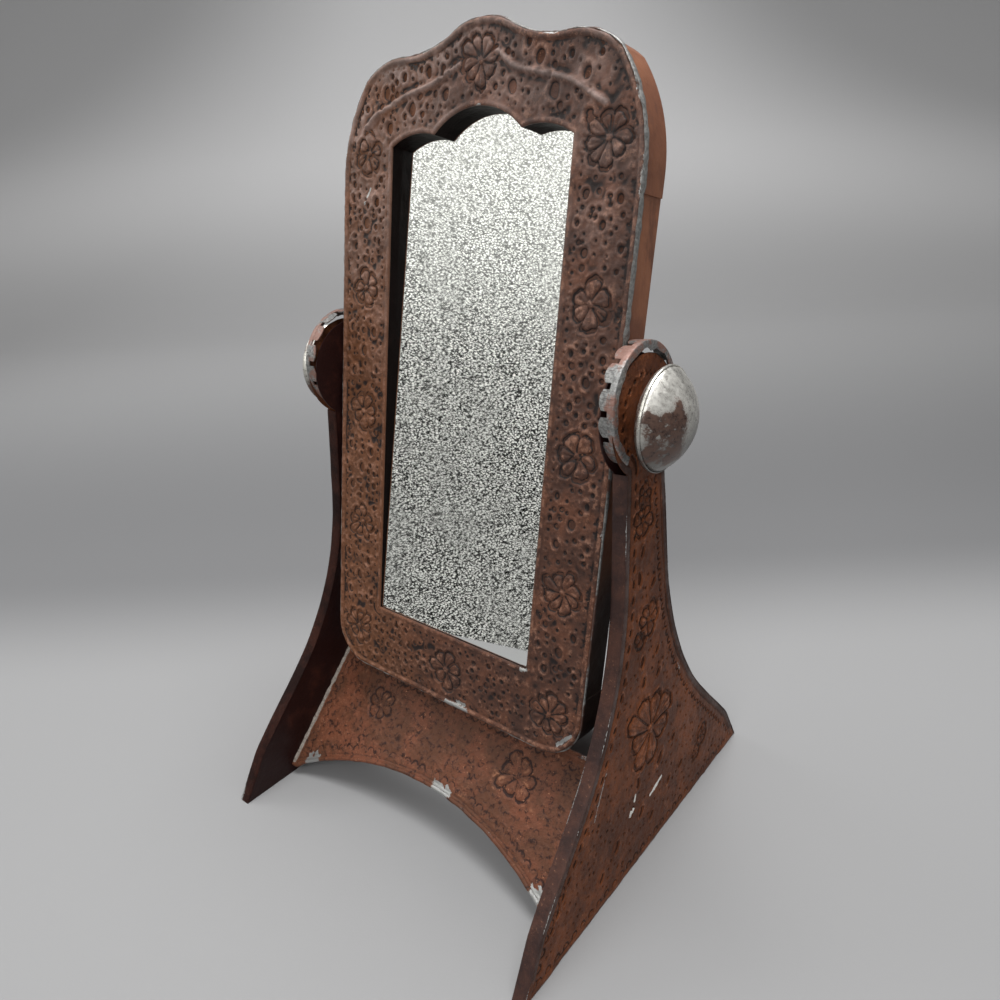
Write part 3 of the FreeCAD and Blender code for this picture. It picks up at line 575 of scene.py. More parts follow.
def embossed_tin(name, brown, copper, pits, bare_from, speck, glint, band_or_light_colours=band_greys,
                 high=crest_copper, painted_lit_side=None, fleck_depth=0.45, gloss=0.22):
    """Painted, worn tin: dark in the dents, coppery on the high places, partly rubbed paint and partly
    painted highlight, with painted copper glints in specks, and bare where it is rubbed.

    The colours laid over the paint are those of a band, or of painted light on the face; high is the
    crests' colour, rubbed copper and painted highlight; and a side, given by an axis and two places on
    it in metres, takes a lighter colour: painted light where more light falls.
    """
    material, shader, place = finish(name)
    marks = node_after(place, "Attribute")
    marks.attribute_name = "relief"
    parts = node_after(place, "SeparateColor")
    put(marks.outputs["Color"], parts.inputs["Color"])
    height, worn, chipped = parts.outputs
    clouds = noise(place, 48, 6, 0.7)
    grain = noise(place, 620, 5, 0.75)
    flecks = noise(place, 260, 4, 0.75)
    colour = mixed(between(clouds, 0.40, 0.64), brown, copper)
    # Painted light: the paint is lighter on the side given, where more light falls.
    if painted_lit_side:
        axis, first, last, shade = painted_lit_side
        colour = mixed(between(apart(place)[axis], first, last, 0, 0.6), colour, shade)
    colour = mixed(between(flecks, 0.50, 0.68, 0, speck), colour, pits)
    colour = mixed(between(height, 0.44, 0.26, 0, 0.94), colour, pits)
    # Crests: partly rubbed copper, partly painted highlight. The copper specks after them are painted
    # glints.
    crest = reckon("MULTIPLY", between(height, 0.54, 0.74), between(flecks, 0.52, 0.40))
    colour = mixed(reckon("MULTIPLY", crest, glint), colour, high)
    painted_light = reckon("MULTIPLY", between(grain, 0.60, 0.68), between(clouds, 0.45, 0.6, 0.2, 1))
    colour = mixed(reckon("MULTIPLY", painted_light, glint), colour, copper_glint)
    # Over the paint: a band, or on the face painted light.
    band_or_light_colour = mixed(between(clouds, 0.42, 0.62), *band_or_light_colours)
    colour = mixed(reckon("MULTIPLY", marks.outputs["Alpha"], 0.85), colour, band_or_light_colour)
    bare = between(reckon("ADD", reckon("MULTIPLY", worn, 0.75), grain), bare_from, bare_from + 0.1)
    colour = mixed(bare, colour, bare_grey)
    undercoat = between(reckon("ADD", chipped, reckon("MULTIPLY", grain, 0.5)), 0.72, 0.80)
    colour = mixed(undercoat, colour, undercoat_white)
    skin = bump(flecks, fleck_depth * mm, bump(grain, 0.18 * mm))
    rough = between(grain, 0.3, 0.75, 0.34, 0.62)
    dress(shader, colour, rough, skin, reckon("MULTIPLY", bare, 0.85), gloss)
    return material


def panel_relief(side_sign, seed):
    """Relief of one panel's outer face; side_sign mirrors the pattern for the left one."""
    def relief(u, v, rims):
        across = u * side_sign
        mirror_rims = [loop * (side_sign, 1) for loop in rims]
        spots = np.column_stack([across, v])
        gap, place = along(mirror_rims[0], spots)
        height = 0.13 * swell(across, v, seed, 26) + 0.07 * swell(across, v, seed + 1, 7)
        for bloom in panel_flowers:
            height += flower(across, v, *bloom)
        for leaf_u, leaf_v, radius, slant in deep_leaves:
            x, y = across - leaf_u, v - leaf_v
            aside = x * math.cos(slant) - y * math.sin(slant)
            ahead = x * math.sin(slant) + y * math.cos(slant)
            height += pit(np.hypot(aside * 1.9, ahead), radius * 1.7, 1.3, 0.4)
        blooms = [(u0, v0, 1.2 * radius) for u0, v0, radius, _, _ in panel_flowers]
        leaves = [(u0, v0, 2 * radius + 1) for u0, v0, radius, _ in deep_leaves]
        keep_off = blooms + leaves + [(0, 0, head_dot_ring + 1)]
        draw = random.Random(seed)
        for dent_u, dent_v in scattered(seed, panel_dents, mirror_rims[:1], keep_off, (10.5,)):
            radius = draw.uniform(0.5, 1.15)
            height += pit(np.hypot(across - dent_u, v - dent_v), radius, 0.8 * radius, 0.12)
        for turn in range(head_dots):
            angle = 2 * math.pi * turn / head_dots
            dot = np.hypot(across - head_dot_ring * math.cos(angle), v - head_dot_ring * math.sin(angle))
            height += pit(dot, 1.0, 0.5, 0.2)
        upright = v > floor_line
        ahead = np.mod(place, front_stroke_pitch) - front_stroke_pitch / 2
        strokes = np.hypot((gap - front_stroke_inset) * 1.7, ahead)
        height += np.where(upright & (across < 0), pit(strokes, 2.6, 1.0, 0.35), 0)
        rear = upright & (across > 0)
        height += np.where(rear, scallops(gap, place, *rear_scallops), 0)
        height += np.where(~rear, scallops(gap, place, *foot_scallops), 0) * (v < foot_top)
        height += dots(gap, place + 2, *inner_dots) * (v < -140)
        band = held((margin_band - gap) / 0.3) * (v < -20) * held((v + 262) / 3)
        height = height * (1 - band) + band * (0.28 + 0.05 * swell(across, v, seed + 4, 5))
        height -= 0.45 * hump(gap - margin_band - 0.5, 0.4) * (v < -20)
        height -= 0.35 * held(1 - gap / 0.8) ** 2
        seam = hump(gap - margin_band + 0.3, 0.5)
        worn = 0.6 * seam * held(0.7 * swell(across, v, seed + 2, 34))
        chipped = np.zeros_like(u)
        for chip in white_chips if side_sign > 0 else []:
            chipped = np.maximum(chipped, near_stroke(across, v, *chip))
        for rub in band_rubs if side_sign > 0 else []:
            worn = np.maximum(worn, 0.9 * near_stroke(across, v, *rub))
        return height, held(worn), chipped, band
    return relief


panel_tin = embossed_tin("panel_tin", (0.096, 0.032, 0.0145, 1), (0.185, 0.058, 0.022, 1),
                         (0.022, 0.010, 0.006, 1), 1.03, 0.5, 0.6, fleck_depth=0.18, gloss=0.12)
panel_planes = {}
for (side, sign), seed in zip(sides, (11, 23)):
    plane = panel_planes[side] = flat_side(side + "_outer_face", (-sign, 0, 0), pivot)
    piece = sheet_piece(side + "_outer_tin", plane, panel_relief(sign, seed), panel_sheet, panel_spacing)
    piece.data.materials.append(panel_tin)
    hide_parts(side + "_outer_face")
    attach(piece, "stand")

# Side panels, inner faces: plain tin of the same outline, painted a dark maroon that has specks of
# rust and copper in it. The sole strips that close the panels at the floor are the same sheet.
def dark_tin(name, coat, speckle, share, gloss=0.2):
    """Thin dark paint with fine specks of another colour."""
    material, shader, place = finish(name)
    clouds = noise(place, 38, 5, 0.65)
    specks = noise(place, 1500, 2, 0.8)
    colour = mixed(between(specks, 0.60, 0.70, 0, share), coat, speckle)
    colour = mixed(between(clouds, 0.52, 0.80, 0, 0.5), colour, speckle)
    skin = bump(clouds, 1.2 * mm, bump(specks, 0.05 * mm))
    dress(shader, colour, between(clouds, 0.3, 0.7, 0.34, 0.52), skin, gloss=gloss)
    return material


def repaint(node, material):
    """Give a carried-over CAD sheet its finish."""
    nodes[node].data.materials.clear()
    nodes[node].data.materials.append(material)


maroon = dark_tin("maroon_tin", (0.020, 0.0062, 0.0055, 1), (0.11, 0.030, 0.016, 1), 0.35)
for side, _ in sides:
    repaint(side + "_inner_face", maroon)
    repaint(side + "_sole_strip", maroon)

# Side panels, edge strips: plain strips bent along the panels' front and back, a little crowned,
# soldered along the outer face, where the paint has rubbed off the seam.
strip_outer = 0.9                  # of the strip's edges, out from the back of the outer face
strip_inner = -6.9
strip_sheet = 0.8
strip_round = 0.45                 # how far the strip's long edges fall away from its middle
strip_step = 2.0
toe_rub_rows = 9                   # rows of the strip, from the floor
inner_rub_row, inner_rub_rows = 52, 16


def swept(name, stations, section, shade=None):
    """Closed piece that carries a section along stations of (middle, first direction, second direction).

    shade gives how far each point of the section is worn, from 0 to 1, at each station.
    """
    points, faces, count = [], [], len(section)
    for middle, first, second in stations:
        points += [middle + (first * a + second * b) * mm for a, b in section]
    for spot in points:
        spot.z = min(max(spot.z, cad_low[2]), cad_high[2])
    for row in range(len(stations) - 1):
        for index in range(count):
            after = (index + 1) % count
            faces.append((row * count + index, row * count + after,
                          (row + 1) * count + after, (row + 1) * count + index))
    last = (len(stations) - 1) * count
    faces += [tuple(range(count - 1, -1, -1)), tuple(range(last, last + count))]
    piece = mesh_piece(name, points, faces)
    work = bmesh.new()
    work.from_mesh(piece.data)
    bmesh.ops.recalc_face_normals(work, faces=work.faces)
    for edge in work.edges:
        edge.smooth = edge.is_manifold and edge.calc_face_angle(0) < 0.7
    work.to_mesh(piece.data)
    work.free()
    if shade:
        marks = piece.data.color_attributes.new(name="relief", type="FLOAT_COLOR", domain="POINT")
        shades = [(0.5, shade(row, a, b), 0, 0) for row in range(len(stations)) for a, b in section]
        marks.data.foreach_set("color", np.array(shades).ravel())
    return piece


def evenly(line, step):
    """The same open line with its points about a step apart."""
    length = np.concatenate([[0], np.cumsum(np.hypot(*np.diff(line, axis=0).T))])
    ticks = np.linspace(0, length[-1], int(length[-1] / step) + 1)
    return np.column_stack([np.interp(ticks, length, line[:, axis]) for axis in (0, 1)])


def headings(us, vs):
    """Direction of an open line at each of its points."""
    ahead = np.gradient(np.column_stack([us, vs]), axis=0)
    return ahead / np.hypot(*ahead.T)[:, None]


def spot_on(plane, u, v, lift=0):
    """Spot on a plane, or lifted off it, from millimetres."""
    return plane["origin"] + (plane["across"] * u + plane["up"] * v + plane["out"] * lift) * mm


def strip_stations(plane, edge_node, seed):
    """Stations up the outer curve of an edge strip, from the floor to the neck."""
    rim = fine(plane["loops"][0], 1.0)
    curve = flat_side(edge_node, -plane["out"], pivot)["loops"][0]
    outer = along(rim, curve)[0] > 0.6 * strip_sheet
    curve = curve[outer][np.argsort(curve[outer][:, 1])]
    us, vs = evenly(curve, strip_step).T
    ahead = headings(us, vs)
    outward = np.column_stack([ahead[:, 1], -ahead[:, 0]]) * np.sign(us.mean())
    stations = []
    for u, v, (out_u, out_v), shift in zip(us, vs, outward, swell(vs, 0 * vs, seed, 30)):
        direction = plane["across"] * out_u + plane["up"] * out_v
        spot = spot_on(plane, u, v) - direction * (0.12 + 0.12 * shift) * mm
        stations.append((spot, plane["out"], direction))
    return stations


strip_middle = (strip_outer + strip_inner) / 2
strip_section = [(strip_outer, -strip_sheet), (strip_outer, -strip_round), (strip_outer - 0.35, -0.18),
                 (strip_outer - 1.3, -0.02), (strip_middle, 0), (strip_inner + 1.3, -0.02),
                 (strip_inner + 0.35, -0.18), (strip_inner, -strip_round), (strip_inner, -strip_sheet),
                 (strip_middle, -strip_sheet)]
strip_tin = embossed_tin("strip_tin", (0.034, 0.017, 0.015, 1), (0.072, 0.031, 0.022, 1),
                         (0.014, 0.010, 0.010, 1), 1.02, 0.35, 0.35)
dark_strip_tin = embossed_tin("dark_strip_tin", (0.014, 0.0050, 0.004, 1), (0.038, 0.012, 0.008, 1),
                              (0.008, 0.004, 0.004, 1), 1.02, 0.35, 0.15, gloss=0.1)
for (side, sign), tin in zip(sides, (strip_tin, dark_strip_tin)):
    for end, seed in (("front", 5), ("rear", 6)):
        node = side + "_" + end + "_edge"
        stations = strip_stations(panel_planes[side], node, seed)
        rows = np.arange(len(stations), dtype=float)
        rub = swell(rows, 0 * rows, seed + 30 + sign, 24)
        toe_rub = hump(rows, toe_rub_rows) * (sign < 0)
        inner_rub = 0.85 * hump(rows - inner_rub_row, inner_rub_rows) * (sign > 0 and end == "front")

        def seam_wear(row, a, b):
            near = max(0, 1 - abs(a - strip_outer) / 1.3)
            rubbed = near * min(0.8, max(0.1, 0.35 + 0.6 * rub[row])) if sign > 0 else near * 0.25
            return rubbed + 0.9 * toe_rub[row] * (a > strip_middle) + inner_rub[row] * (a < strip_inner + 1)

        piece = swept(side + "_" + end + "_strip", stations, strip_section, seam_wear)
        piece.data.materials.append(tin)
        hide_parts(node)
        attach(piece, "stand")

# Head rims: a bare strip round each panel's head. Its outer edge is folded flat over the embossed
# face as a grey ring, and its inner edge is snipped into tabs so that it takes the curve.
head_radius = 29.9
head_open = 142.0                  # degrees from the top to the neck, each side
rim_sheet = 0.75
lip_reach = 3.7
tab_edge = -1.9                    # of the tabs' roots, out from the back of the outer face
tab_turn = 24.0
tab_snips = 10
tab_slit = 5.6                     # degrees
rim_step = 3.0

bare_tin, shader, place = finish("bare_tin")
stain = noise(place, 75, 5, 0.7)
grain = noise(place, 700, 4, 0.7)
brushed = noise(place, 260, 3, 0.6, (1, 1, 6))
colour = mixed(between(grain, 0.3, 0.7), (0.14, 0.14, 0.14, 1), (0.36, 0.36, 0.35, 1))
colour = mixed(between(stain, 0.46, 0.56, 0, 0.8), colour, (0.25, 0.110, 0.075, 1))
colour = mixed(between(brushed, 0.60, 0.72, 0, 0.8), colour, (0.07, 0.045, 0.04, 1))
skin = bump(brushed, 0.25 * mm, bump(grain, 0.08 * mm))
dress(shader, colour, between(brushed, 0.3, 0.7, 0.38, 0.62), skin, between(stain, 0.46, 0.58, 0.75, 0.3))


def head_station(plane, degrees, shift, width=1.0, reach=1.0):
    """Station on the head's circle, measured from the top; the section may be stretched there."""
    angle = math.radians(degrees)
    outward = plane["across"] * math.sin(angle) + plane["up"] * math.cos(angle)
    return (plane["origin"] + outward * (head_radius + shift) * mm, plane["out"] * width, outward * reach)


def spaced(first, last, step):
    """Even numbers from first to last, about a step apart."""
    return [float(number) for number in np.linspace(first, last, max(2, round((last - first) / step) + 1))]


def joined(name, parts):
    """One piece of several that are soldered together."""
    with bpy.context.temp_override(active_object=parts[0], selected_editable_objects=parts):
        bpy.ops.object.join()
    parts[0].name = name
    return parts[0]


ring_section = [(tab_edge, 0), (strip_outer, -0.02), (strip_outer + 0.32, -0.22), (strip_outer + 0.5, -0.7),
                (strip_outer + 0.5, -lip_reach * 0.6), (strip_outer + 0.42, -lip_reach),
                (strip_outer + 0.02, -lip_reach), (strip_outer + 0.02, -rim_sheet), (tab_edge, -rim_sheet)]
for side, sign in sides:
    plane = panel_planes[side]
    draw = random.Random(40 + sign)
    turns = np.array(spaced(-head_open, head_open, rim_step))
    slow, quick = swell(turns, turns * 0, 50 + sign, 30), swell(turns, turns * 0, 52 + sign, 9)
    ragged = 1 + 0.16 * slow + 0.06 * quick
    stations = [head_station(plane, degrees, -0.05, 1.0, reach) for degrees, reach in zip(turns, ragged)]
    parts = [swept("ring", stations, ring_section)]
    cuts = [tab_turn * (index - (tab_snips - 1) / 2) for index in range(tab_snips)]
    snips = [-head_open] + cuts + [head_open]
    for first, last in zip(snips, snips[1:]):
        slant, lift = draw.uniform(-0.35, 0.3), draw.uniform(-0.35, 0.05)
        short = draw.uniform(0, 0.5)
        tab_section = [(strip_inner + short, lift), (tab_edge + 0.1, -0.02),
                       (tab_edge + 0.1, -rim_sheet + 0.1), (strip_inner + short, -rim_sheet + 0.1 + lift)]
        turns = spaced(first + tab_slit / 2, last - tab_slit / 2, rim_step)
        stations = [head_station(plane, degrees, slant * (index / len(turns) - 0.5) - 0.1,
                                 1 - 0.22 * abs(2 * index / (len(turns) - 1) - 1) ** 2)
                    for index, degrees in enumerate(turns)]
        parts.append(swept("tab", stations, tab_section))
    piece = joined(side + "_head_band", parts)
    piece.data.materials.append(bare_tin)
    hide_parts(side + "_head_rim")
    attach(piece, "stand")

# Aprons: one embossed sheet slopes down to an arched, rolled hem in front, and another behind. They
# are soldered to the inner faces and hold the panels apart.
apron_sheet = 0.9
apron_spacing = 0.95
apron_out, apron_up = 56.7, 39.2              # middle of the apron, from the stand's middle and up
hem_radius = 1.5
top_hem_radius = 1.1
apron_flowers = [(-60, 19, 11, 7, 0.5), (54, 18, 14, 7, 0.2)]
hem_chips = [(-102, -88), (0, 20), (86, 97)]  # across the apron, from and to
hem_step = 2.0
apron_marks = 6.4                             # between the scattered half-rounds
apron_margin = 3.0
arch_scallops = (6.6, 6.0, 2.3, 0.55)         # inset, pitch, radius, depth
arch_dots = (5.6, 6.0, 0.7, 0.4)


def chip_wear(u, chips):
    """Wear from 0 to 1 at u across the apron, highest in the middle of each chip."""
    return sum(held(1.25 - ((2 * u - first - last) / (last - first)) ** 2)
               for first, last in chips)


def apron_relief(seed, chips):
    """Soft relief of an apron, with scallops that follow the arch."""
    def relief(u, v, rims):
        gap, place = along(rims[0], np.column_stack([u, v]))
        height = 0.11 * swell(u, v, seed, 18) + 0.08 * swell(u, v, seed + 1, 6)
        for bloom in apron_flowers:
            height += 0.6 * flower(u, v, *bloom)
        keep_off = [(u0, v0, 1.25 * radius) for u0, v0, radius, _, _ in apron_flowers]
        draw = random.Random(seed)
        for mark_u, mark_v in scattered(seed, apron_marks, rims[:1], keep_off, (10,)):
            radius, turn = draw.uniform(1.4, 2.6), draw.uniform(0, 2 * math.pi)
            x, y = u - mark_u, v - mark_v
            half = x * math.cos(turn) + y * math.sin(turn) > -0.3
            height -= 0.34 * half * hump(np.hypot(x, y) - radius, 0.45)
        height += scallops(gap, place, *arch_scallops) + dots(gap, place + 3, *arch_dots)
        height *= held((gap - apron_margin) / 1.2)
        height -= 0.35 * hump(gap - apron_margin, 0.6)
        worn = held(1 - gap / 3.2) * held(0.15 + 0.6 * swell(u, v, seed + 2, 30))
        near = held((6.5 + 1.5 * swell(u, v, seed + 6, 5) - gap) / 2.5)
        near *= v < rims[0][:, 1].max() - 12
        worn = np.maximum(worn, 1.15 * near * chip_wear(u, chips))
        return height, worn, np.zeros_like(u), np.zeros_like(u)
    return relief


def round_section(corners, half_wide, half_high, shift):
    """Corners of an oval, from its right-hand end on."""
    turns = [2 * math.pi * corner / corners for corner in range(corners)]
    return [(half_wide * math.cos(turn), half_high * math.sin(turn) + shift) for turn in turns]


def hem(name, plane, curve, radius, lift, seed, chips=()):
    """Rolled edge along an open curve in the apron's plane."""
    us, vs = evenly(np.array(curve), hem_step).T
    stations = []
    for u, v, (run_u, run_v), shift in zip(us, vs, headings(us, vs), swell(us, vs, seed, 14)):
        outward = plane["across"] * -run_v + plane["up"] * run_u
        spot = spot_on(plane, u, v, lift) + outward * 0.10 * shift * mm
        stations.append((spot, plane["out"], outward))
    section = round_section(10, radius, radius, 0)
    rub = swell(us, vs, seed + 1, 22)

    def hem_wear(row, a, b):
        chipped = 1.05 * chip_wear(us[row], chips) + 0.1 * math.sin(2.1 * a + 1.3 * b + row)
        return max(chipped, min(1, max(0, 0.05 + 0.5 * rub[row])) * (1 if a > 0 else 0.3))

    return swept(name, stations, section, hem_wear)


apron_tin = embossed_tin("apron_tin", (0.118, 0.047, 0.025, 1), (0.192, 0.066, 0.034, 1),
                         (0.026, 0.011, 0.009, 1), 1.04, 0.95, 0.9,
                         high=(0.38, 0.17, 0.09, 1), fleck_depth=1.0)
solder, shader, place = finish("solder")
grain = noise(place, 800, 4, 0.7)
colour = mixed(between(grain, 0.3, 0.7), (0.24, 0.20, 0.17, 1), (0.46, 0.41, 0.36, 1))
colour = mixed(between(noise(place, 120, 4), 0.56, 0.70, 0, 0.8), colour, (0.13, 0.055, 0.035, 1))
dress(shader, colour, between(grain, 0.3, 0.7, 0.35, 0.6), bump(grain, 0.12 * mm), 0.5)

apron_planes = {}
for end, sign, seed, chips in (("front", -1, 61, hem_chips), ("rear", 1, 71, ())):
    middle = Vector((0, sign * apron_out, apron_up)) * mm
    plane = apron_planes[end] = flat_side(end + "_apron", (0, -0.7 * sign, -0.7), middle)
    sheet = sheet_piece(end + "_apron_tin", plane, apron_relief(seed, chips), apron_sheet, apron_spacing)
    outline = plane["loops"][0]
    low, high = outline.min(0), outline.max(0)
    arch = outline[(np.abs(outline[:, 0]) < high[0] - 3) & (outline[:, 1] < high[1] - 8)]
    arch = arch[np.argsort(arch[:, 0])]
    ends = outline[outline[:, 1] < low[1] + 0.5]
    arch = np.concatenate([[ends[np.argmin(ends[:, 0])]], arch, [ends[np.argmax(ends[:, 0])]]])
    top = outline[outline[:, 1] > high[1] - 0.5]
    top = top[np.argsort(top[:, 0])]
    lower = hem(end + "_lower_hem", plane, arch, hem_radius, apron_sheet / 2, seed + 3, chips)
    upper = hem(end + "_upper_hem", plane, top, top_hem_radius, apron_sheet / 2, seed + 5)
    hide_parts(end + "_apron")
    for piece in (sheet, lower, upper):
        piece.data.materials.append(apron_tin)
        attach(piece, "stand")

# Solder along the aprons' ends: a pale, lumpy fillet of tin and lead, run down each joint between
# apron and side panel with an iron.
solder_radius = 1.5
solder_steps = 46
solder_section = [(-0.5, 0.3), (-0.5, -solder_radius), (0.2, -solder_radius * 0.9), (0.75, -0.75),
                  (solder_radius * 0.95, -0.2), (solder_radius * 0.95, 0.3)]
for end, plane in apron_planes.items():
    outline = plane["loops"][0]
    foot = outline[outline[:, 1] < outline[:, 1].min() + 0.5]
    head = outline[outline[:, 1] > outline[:, 1].max() - 0.5]
    beads = []
    for way in (-1, 1):
        start, stop = (row[np.argmax(row[:, 0] * way)] for row in (foot, head))
        shares = np.linspace(0.01, 0.99, solder_steps)
        stations = []
        for share, lump in zip(shares, swell(shares * 60, shares * 0, 81 + way, 5)):
            u, v = start + (stop - start) * share
            spot = spot_on(plane, u - way * 0.35, v, apron_sheet)
            size = 1 + 0.16 * lump
            stations.append((spot, plane["out"] * size, plane["across"] * way * size))
        beads.append(swept(end + "_solder", stations, solder_section))
    piece = joined(end + "_solder", beads)
    piece.data.materials.append(solder)
    if end == "front":
        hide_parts("apron_solder")
    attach(piece, "stand")

# Mirror box, face: the embossed front of the box, with a rolled bead round its scalloped outline, a
# raised border round the opening, and two S-shaped ridges that spring from the crown's flower.
face_sheet = 0.8
face_spacing = 0.78
bead_width = 2.8
bead_height = 0.9
border_width = 2.6
border_height = 0.5
ridge_width = 1.3
ridge_height = 1.2
face_dents = 5.4                              # between the scattered dents
opening_dots = (5.6, 5.2, 1.15, 0.6)          # inset, pitch, radius, depth
outline_dots = (5.0, 4.4, 1.0, 0.45)
face_blooms = [(75.5, 117, 12.5, 8, 0.1), (75.5, 47, 12.0, 6, 0.5), (76, -24, 12.5, 6, 0.9),
               (75.5, -95, 12.5, 8, 0.3), (75, -165, 13.0, 8, 0.7), (-76, 117, 11.0, 6, 0.4),
               (-76, 47, 10.5, 6, 0.8), (-76, -23, 11.5, 7, 0.2), (-76, -93, 11.0, 8, 0.6),
               (-76, -163, 12.0, 8, 0.0), (0, 155, 12.5, 8, 0.2), (0, -167, 13.0, 7, 0.4)]
right_ridge = [(11, 158), (21, 150), (38, 146), (54, 142), (68, 134), (73, 131)]
left_ridge = [(-13, 154), (-30, 147), (-51, 143), (-70, 136), (-77, 130)]
ringed_dents = [(36, 153, 3.0), (62, 144, 2.8), (21, 142, 3.0), (45, 138, 3.3), (65, 127, 2.7),
                (29, 159, 2.2), (-21, 142, 2.8), (-44, 137, 3.0), (-33, 153, 2.6), (-63, 146, 2.6),
                (-60, 129, 2.8), (53, 152, 2.0), (-50, 152, 2.0)]
column_dents = [(8, 24, 2.3), (-10, 22, 2.0), (0, 35, 2.6), (11, 45, 1.9), (-8, 47, 2.3), (-13, 34, 1.7)]
face_chips = [(2, -187, 18, -187, 4.0), (10, -184, 16, -184, 2.6), (82, -181, 90, -172, 2.6),
              (-78, 92, -74, 100, 1.5)]
face_columns = [(column, row) for column in (-77, 77) for row in (117, 47, -23, -93)]


def ridge(u, v, points, width):
    """Raised line through points, rounded between them, with a furrow on each side."""
    ticks = np.arange(len(points))
    smooth = np.linspace(0, len(points) - 1, 60)
    points = np.array(points, float)
    line = np.column_stack([np.interp(smooth, ticks, points[:, axis]) for axis in (0, 1)])
    for _ in range(6):
        line[1:-1] = (line[:-2] + line[1:-1] * 2 + line[2:]) / 4
    gap = np.min([np.hypot(u - a, v - b) for a, b in line], axis=0)
    return hump(gap, width) - 0.35 * hump(gap - 2.3 * width, width)


def face_relief(u, v, rims):
    """Relief of the mirror's face, between its outline and the opening."""
    spots = np.column_stack([u, v])
    gap, place = along(rims[0], spots)
    hole_gap, hole_place = along(rims[1], spots)
    height = 0.22 * swell(u, v, 101, 20) + 0.17 * swell(u, v, 102, 6)
    ridges = ridge(u, v, right_ridge, ridge_width) + ridge(u, v, left_ridge, ridge_width)
    height += ridge_height * ridges
    deeper = 1 + 0.5 * held(-u / 40)
    for bloom in face_blooms:
        height += flower(u, v, *bloom)
    dents = ringed_dents + [(column + x, row - y, size) for column, row in face_columns
                            for x, y, size in column_dents]
    for dent_u, dent_v, size in dents:
        height += pit(np.hypot(u - dent_u, (v - dent_v) * 0.8), size, 0.50 * size, 0.50)
    keep_off = [(x, y, 1.28 * size) for x, y, size, _, _ in face_blooms]
    keep_off += [(x, y, size + 2.0) for x, y, size in dents]
    keep_off += [(x, y, 4.5) for x, y in right_ridge + left_ridge]
    draw = random.Random(7)
    for dent_u, dent_v in scattered(7, face_dents, rims, keep_off, (6.5, 7.5)):
        size = draw.uniform(1.0, 2.0)
        height += pit(np.hypot(u - dent_u, v - dent_v), size, 0.60 * size, 0.30)
    height += dots(hole_gap, hole_place, *opening_dots) + dots(gap, place, *outline_dots)
    low_rim = held((gap - 0.2) / 1.2) * held((hole_gap - 0.2) / 1.2)
    height *= low_rim * deeper
    bead = np.sqrt(held(1 - ((gap - bead_width / 2) / (bead_width / 2)) ** 2))
    border = held(1 - ((hole_gap - border_width / 2) / (border_width / 2)) ** 2)
    height = np.where(gap < bead_width, bead_height * bead + 0.1 * swell(u, v, 103, 12) * bead, height)
    height = np.where(hole_gap < border_width, border_height * border, height)
    height -= 0.4 * hump(gap - bead_width - 0.9, 0.6)
    crown = held((v - 60) / 80)
    worn = held(1 - gap / 2.6) * held(0.25 + 0.4 * crown + 0.4 * swell(u, v, 104, 24))
    worn = np.maximum(worn, 0.5 * held(1 - hole_gap / 1.5) * held(swell(u, v, 105, 18)))
    for chip in face_chips:
        worn = np.maximum(worn, 1.2 * near_stroke(u, v, *chip))
    low_border = held(1 - np.abs(hole_gap - 1.2) / 1.3) * (v < rims[1][:, 1].min() + 3)
    worn = np.maximum(worn, low_border * np.clip(0.55 + 0.4 * swell(u, v, 107, 14), 0, 0.9))
    opening = rims[1]
    peak, low_right = opening[np.argmax(opening[:, 1])], opening[np.argmax(opening[:, 0] - opening[:, 1])]
    for (patch_u, patch_v), run, width in ((peak, -9, 2.6), (low_right, -3, 3.4)):
        blob = near_stroke(u, v, patch_u + run, patch_v + 0.4 * run, patch_u, patch_v, width)
        worn = np.maximum(worn, 1.1 * blob)
        height += 0.5 * blob * (hole_gap < 3)
    # Painted light on the face: a pale cover, more high up and on the left, where more light falls, on the
    # raised places and on the ridges.
    painted_light = held((v + 20) / 180) * np.where(u < 0, 0.85, 0.5)
    painted_light *= np.clip(0.7 + 0.5 * swell(u, v, 106, 40), 0.2, 1) * np.clip(0.6 + 1.5 * height, 0.05, 1)
    painted_light = np.maximum(painted_light, held(1.3 * ridges))
    return height, np.clip(worn, 0, 1.2), np.zeros_like(u), painted_light


box_tilt = math.radians(10.5)
behind = (0, math.cos(box_tilt), -math.sin(box_tilt))
# colours of the pale painted light on the face, high up and on the left
face_pale_light = ((0.15, 0.108, 0.095, 1), (0.34, 0.25, 0.22, 1))
# painted light: the face's left side lighter, where more light falls
left_painted_light = ("X", 0.01, -0.08, (0.205, 0.080, 0.032, 1))
face_tin = embossed_tin("face_tin", (0.070, 0.032, 0.022, 1), (0.140, 0.056, 0.032, 1),
                        (0.014, 0.010, 0.010, 1), 1.03, 0.4, 0.65, face_pale_light,
                        (0.31, 0.155, 0.100, 1), left_painted_light)
face_plane = flat_side("mirror_face", behind, pivot)
piece = sheet_piece("embossed_face", face_plane, face_relief, face_sheet, face_spacing)
piece.data.materials.append(face_tin)
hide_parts("mirror_face")
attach(piece, "mirror_box")

# Solder round the face: a grey, ragged seam where the face meets the casing strips, run on with an
# iron. Its paint is off in places, most of all high on the right.
seam_solder, shader, place = finish("seam_solder")
grain = noise(place, 650, 4, 0.7)
aside, back, up = apart(place)
bare_side = reckon("MULTIPLY", between(aside, 0.055, 0.085), between(up, 0.22, 0.30))
patches = reckon("SUBTRACT", noise(place, 48, 5, 0.65), reckon("MULTIPLY", bare_side, 0.13))
colour = mixed(between(grain, 0.3, 0.7), (0.14, 0.14, 0.135, 1), (0.34, 0.335, 0.32, 1))
colour = mixed(between(patches, 0.46, 0.54), colour, (0.075, 0.035, 0.024, 1))
dress(shader, colour, between(grain, 0.3, 0.7, 0.35, 0.6), bump(grain, 0.2 * mm),
      between(patches, 0.46, 0.54, 0.5, 0.0))

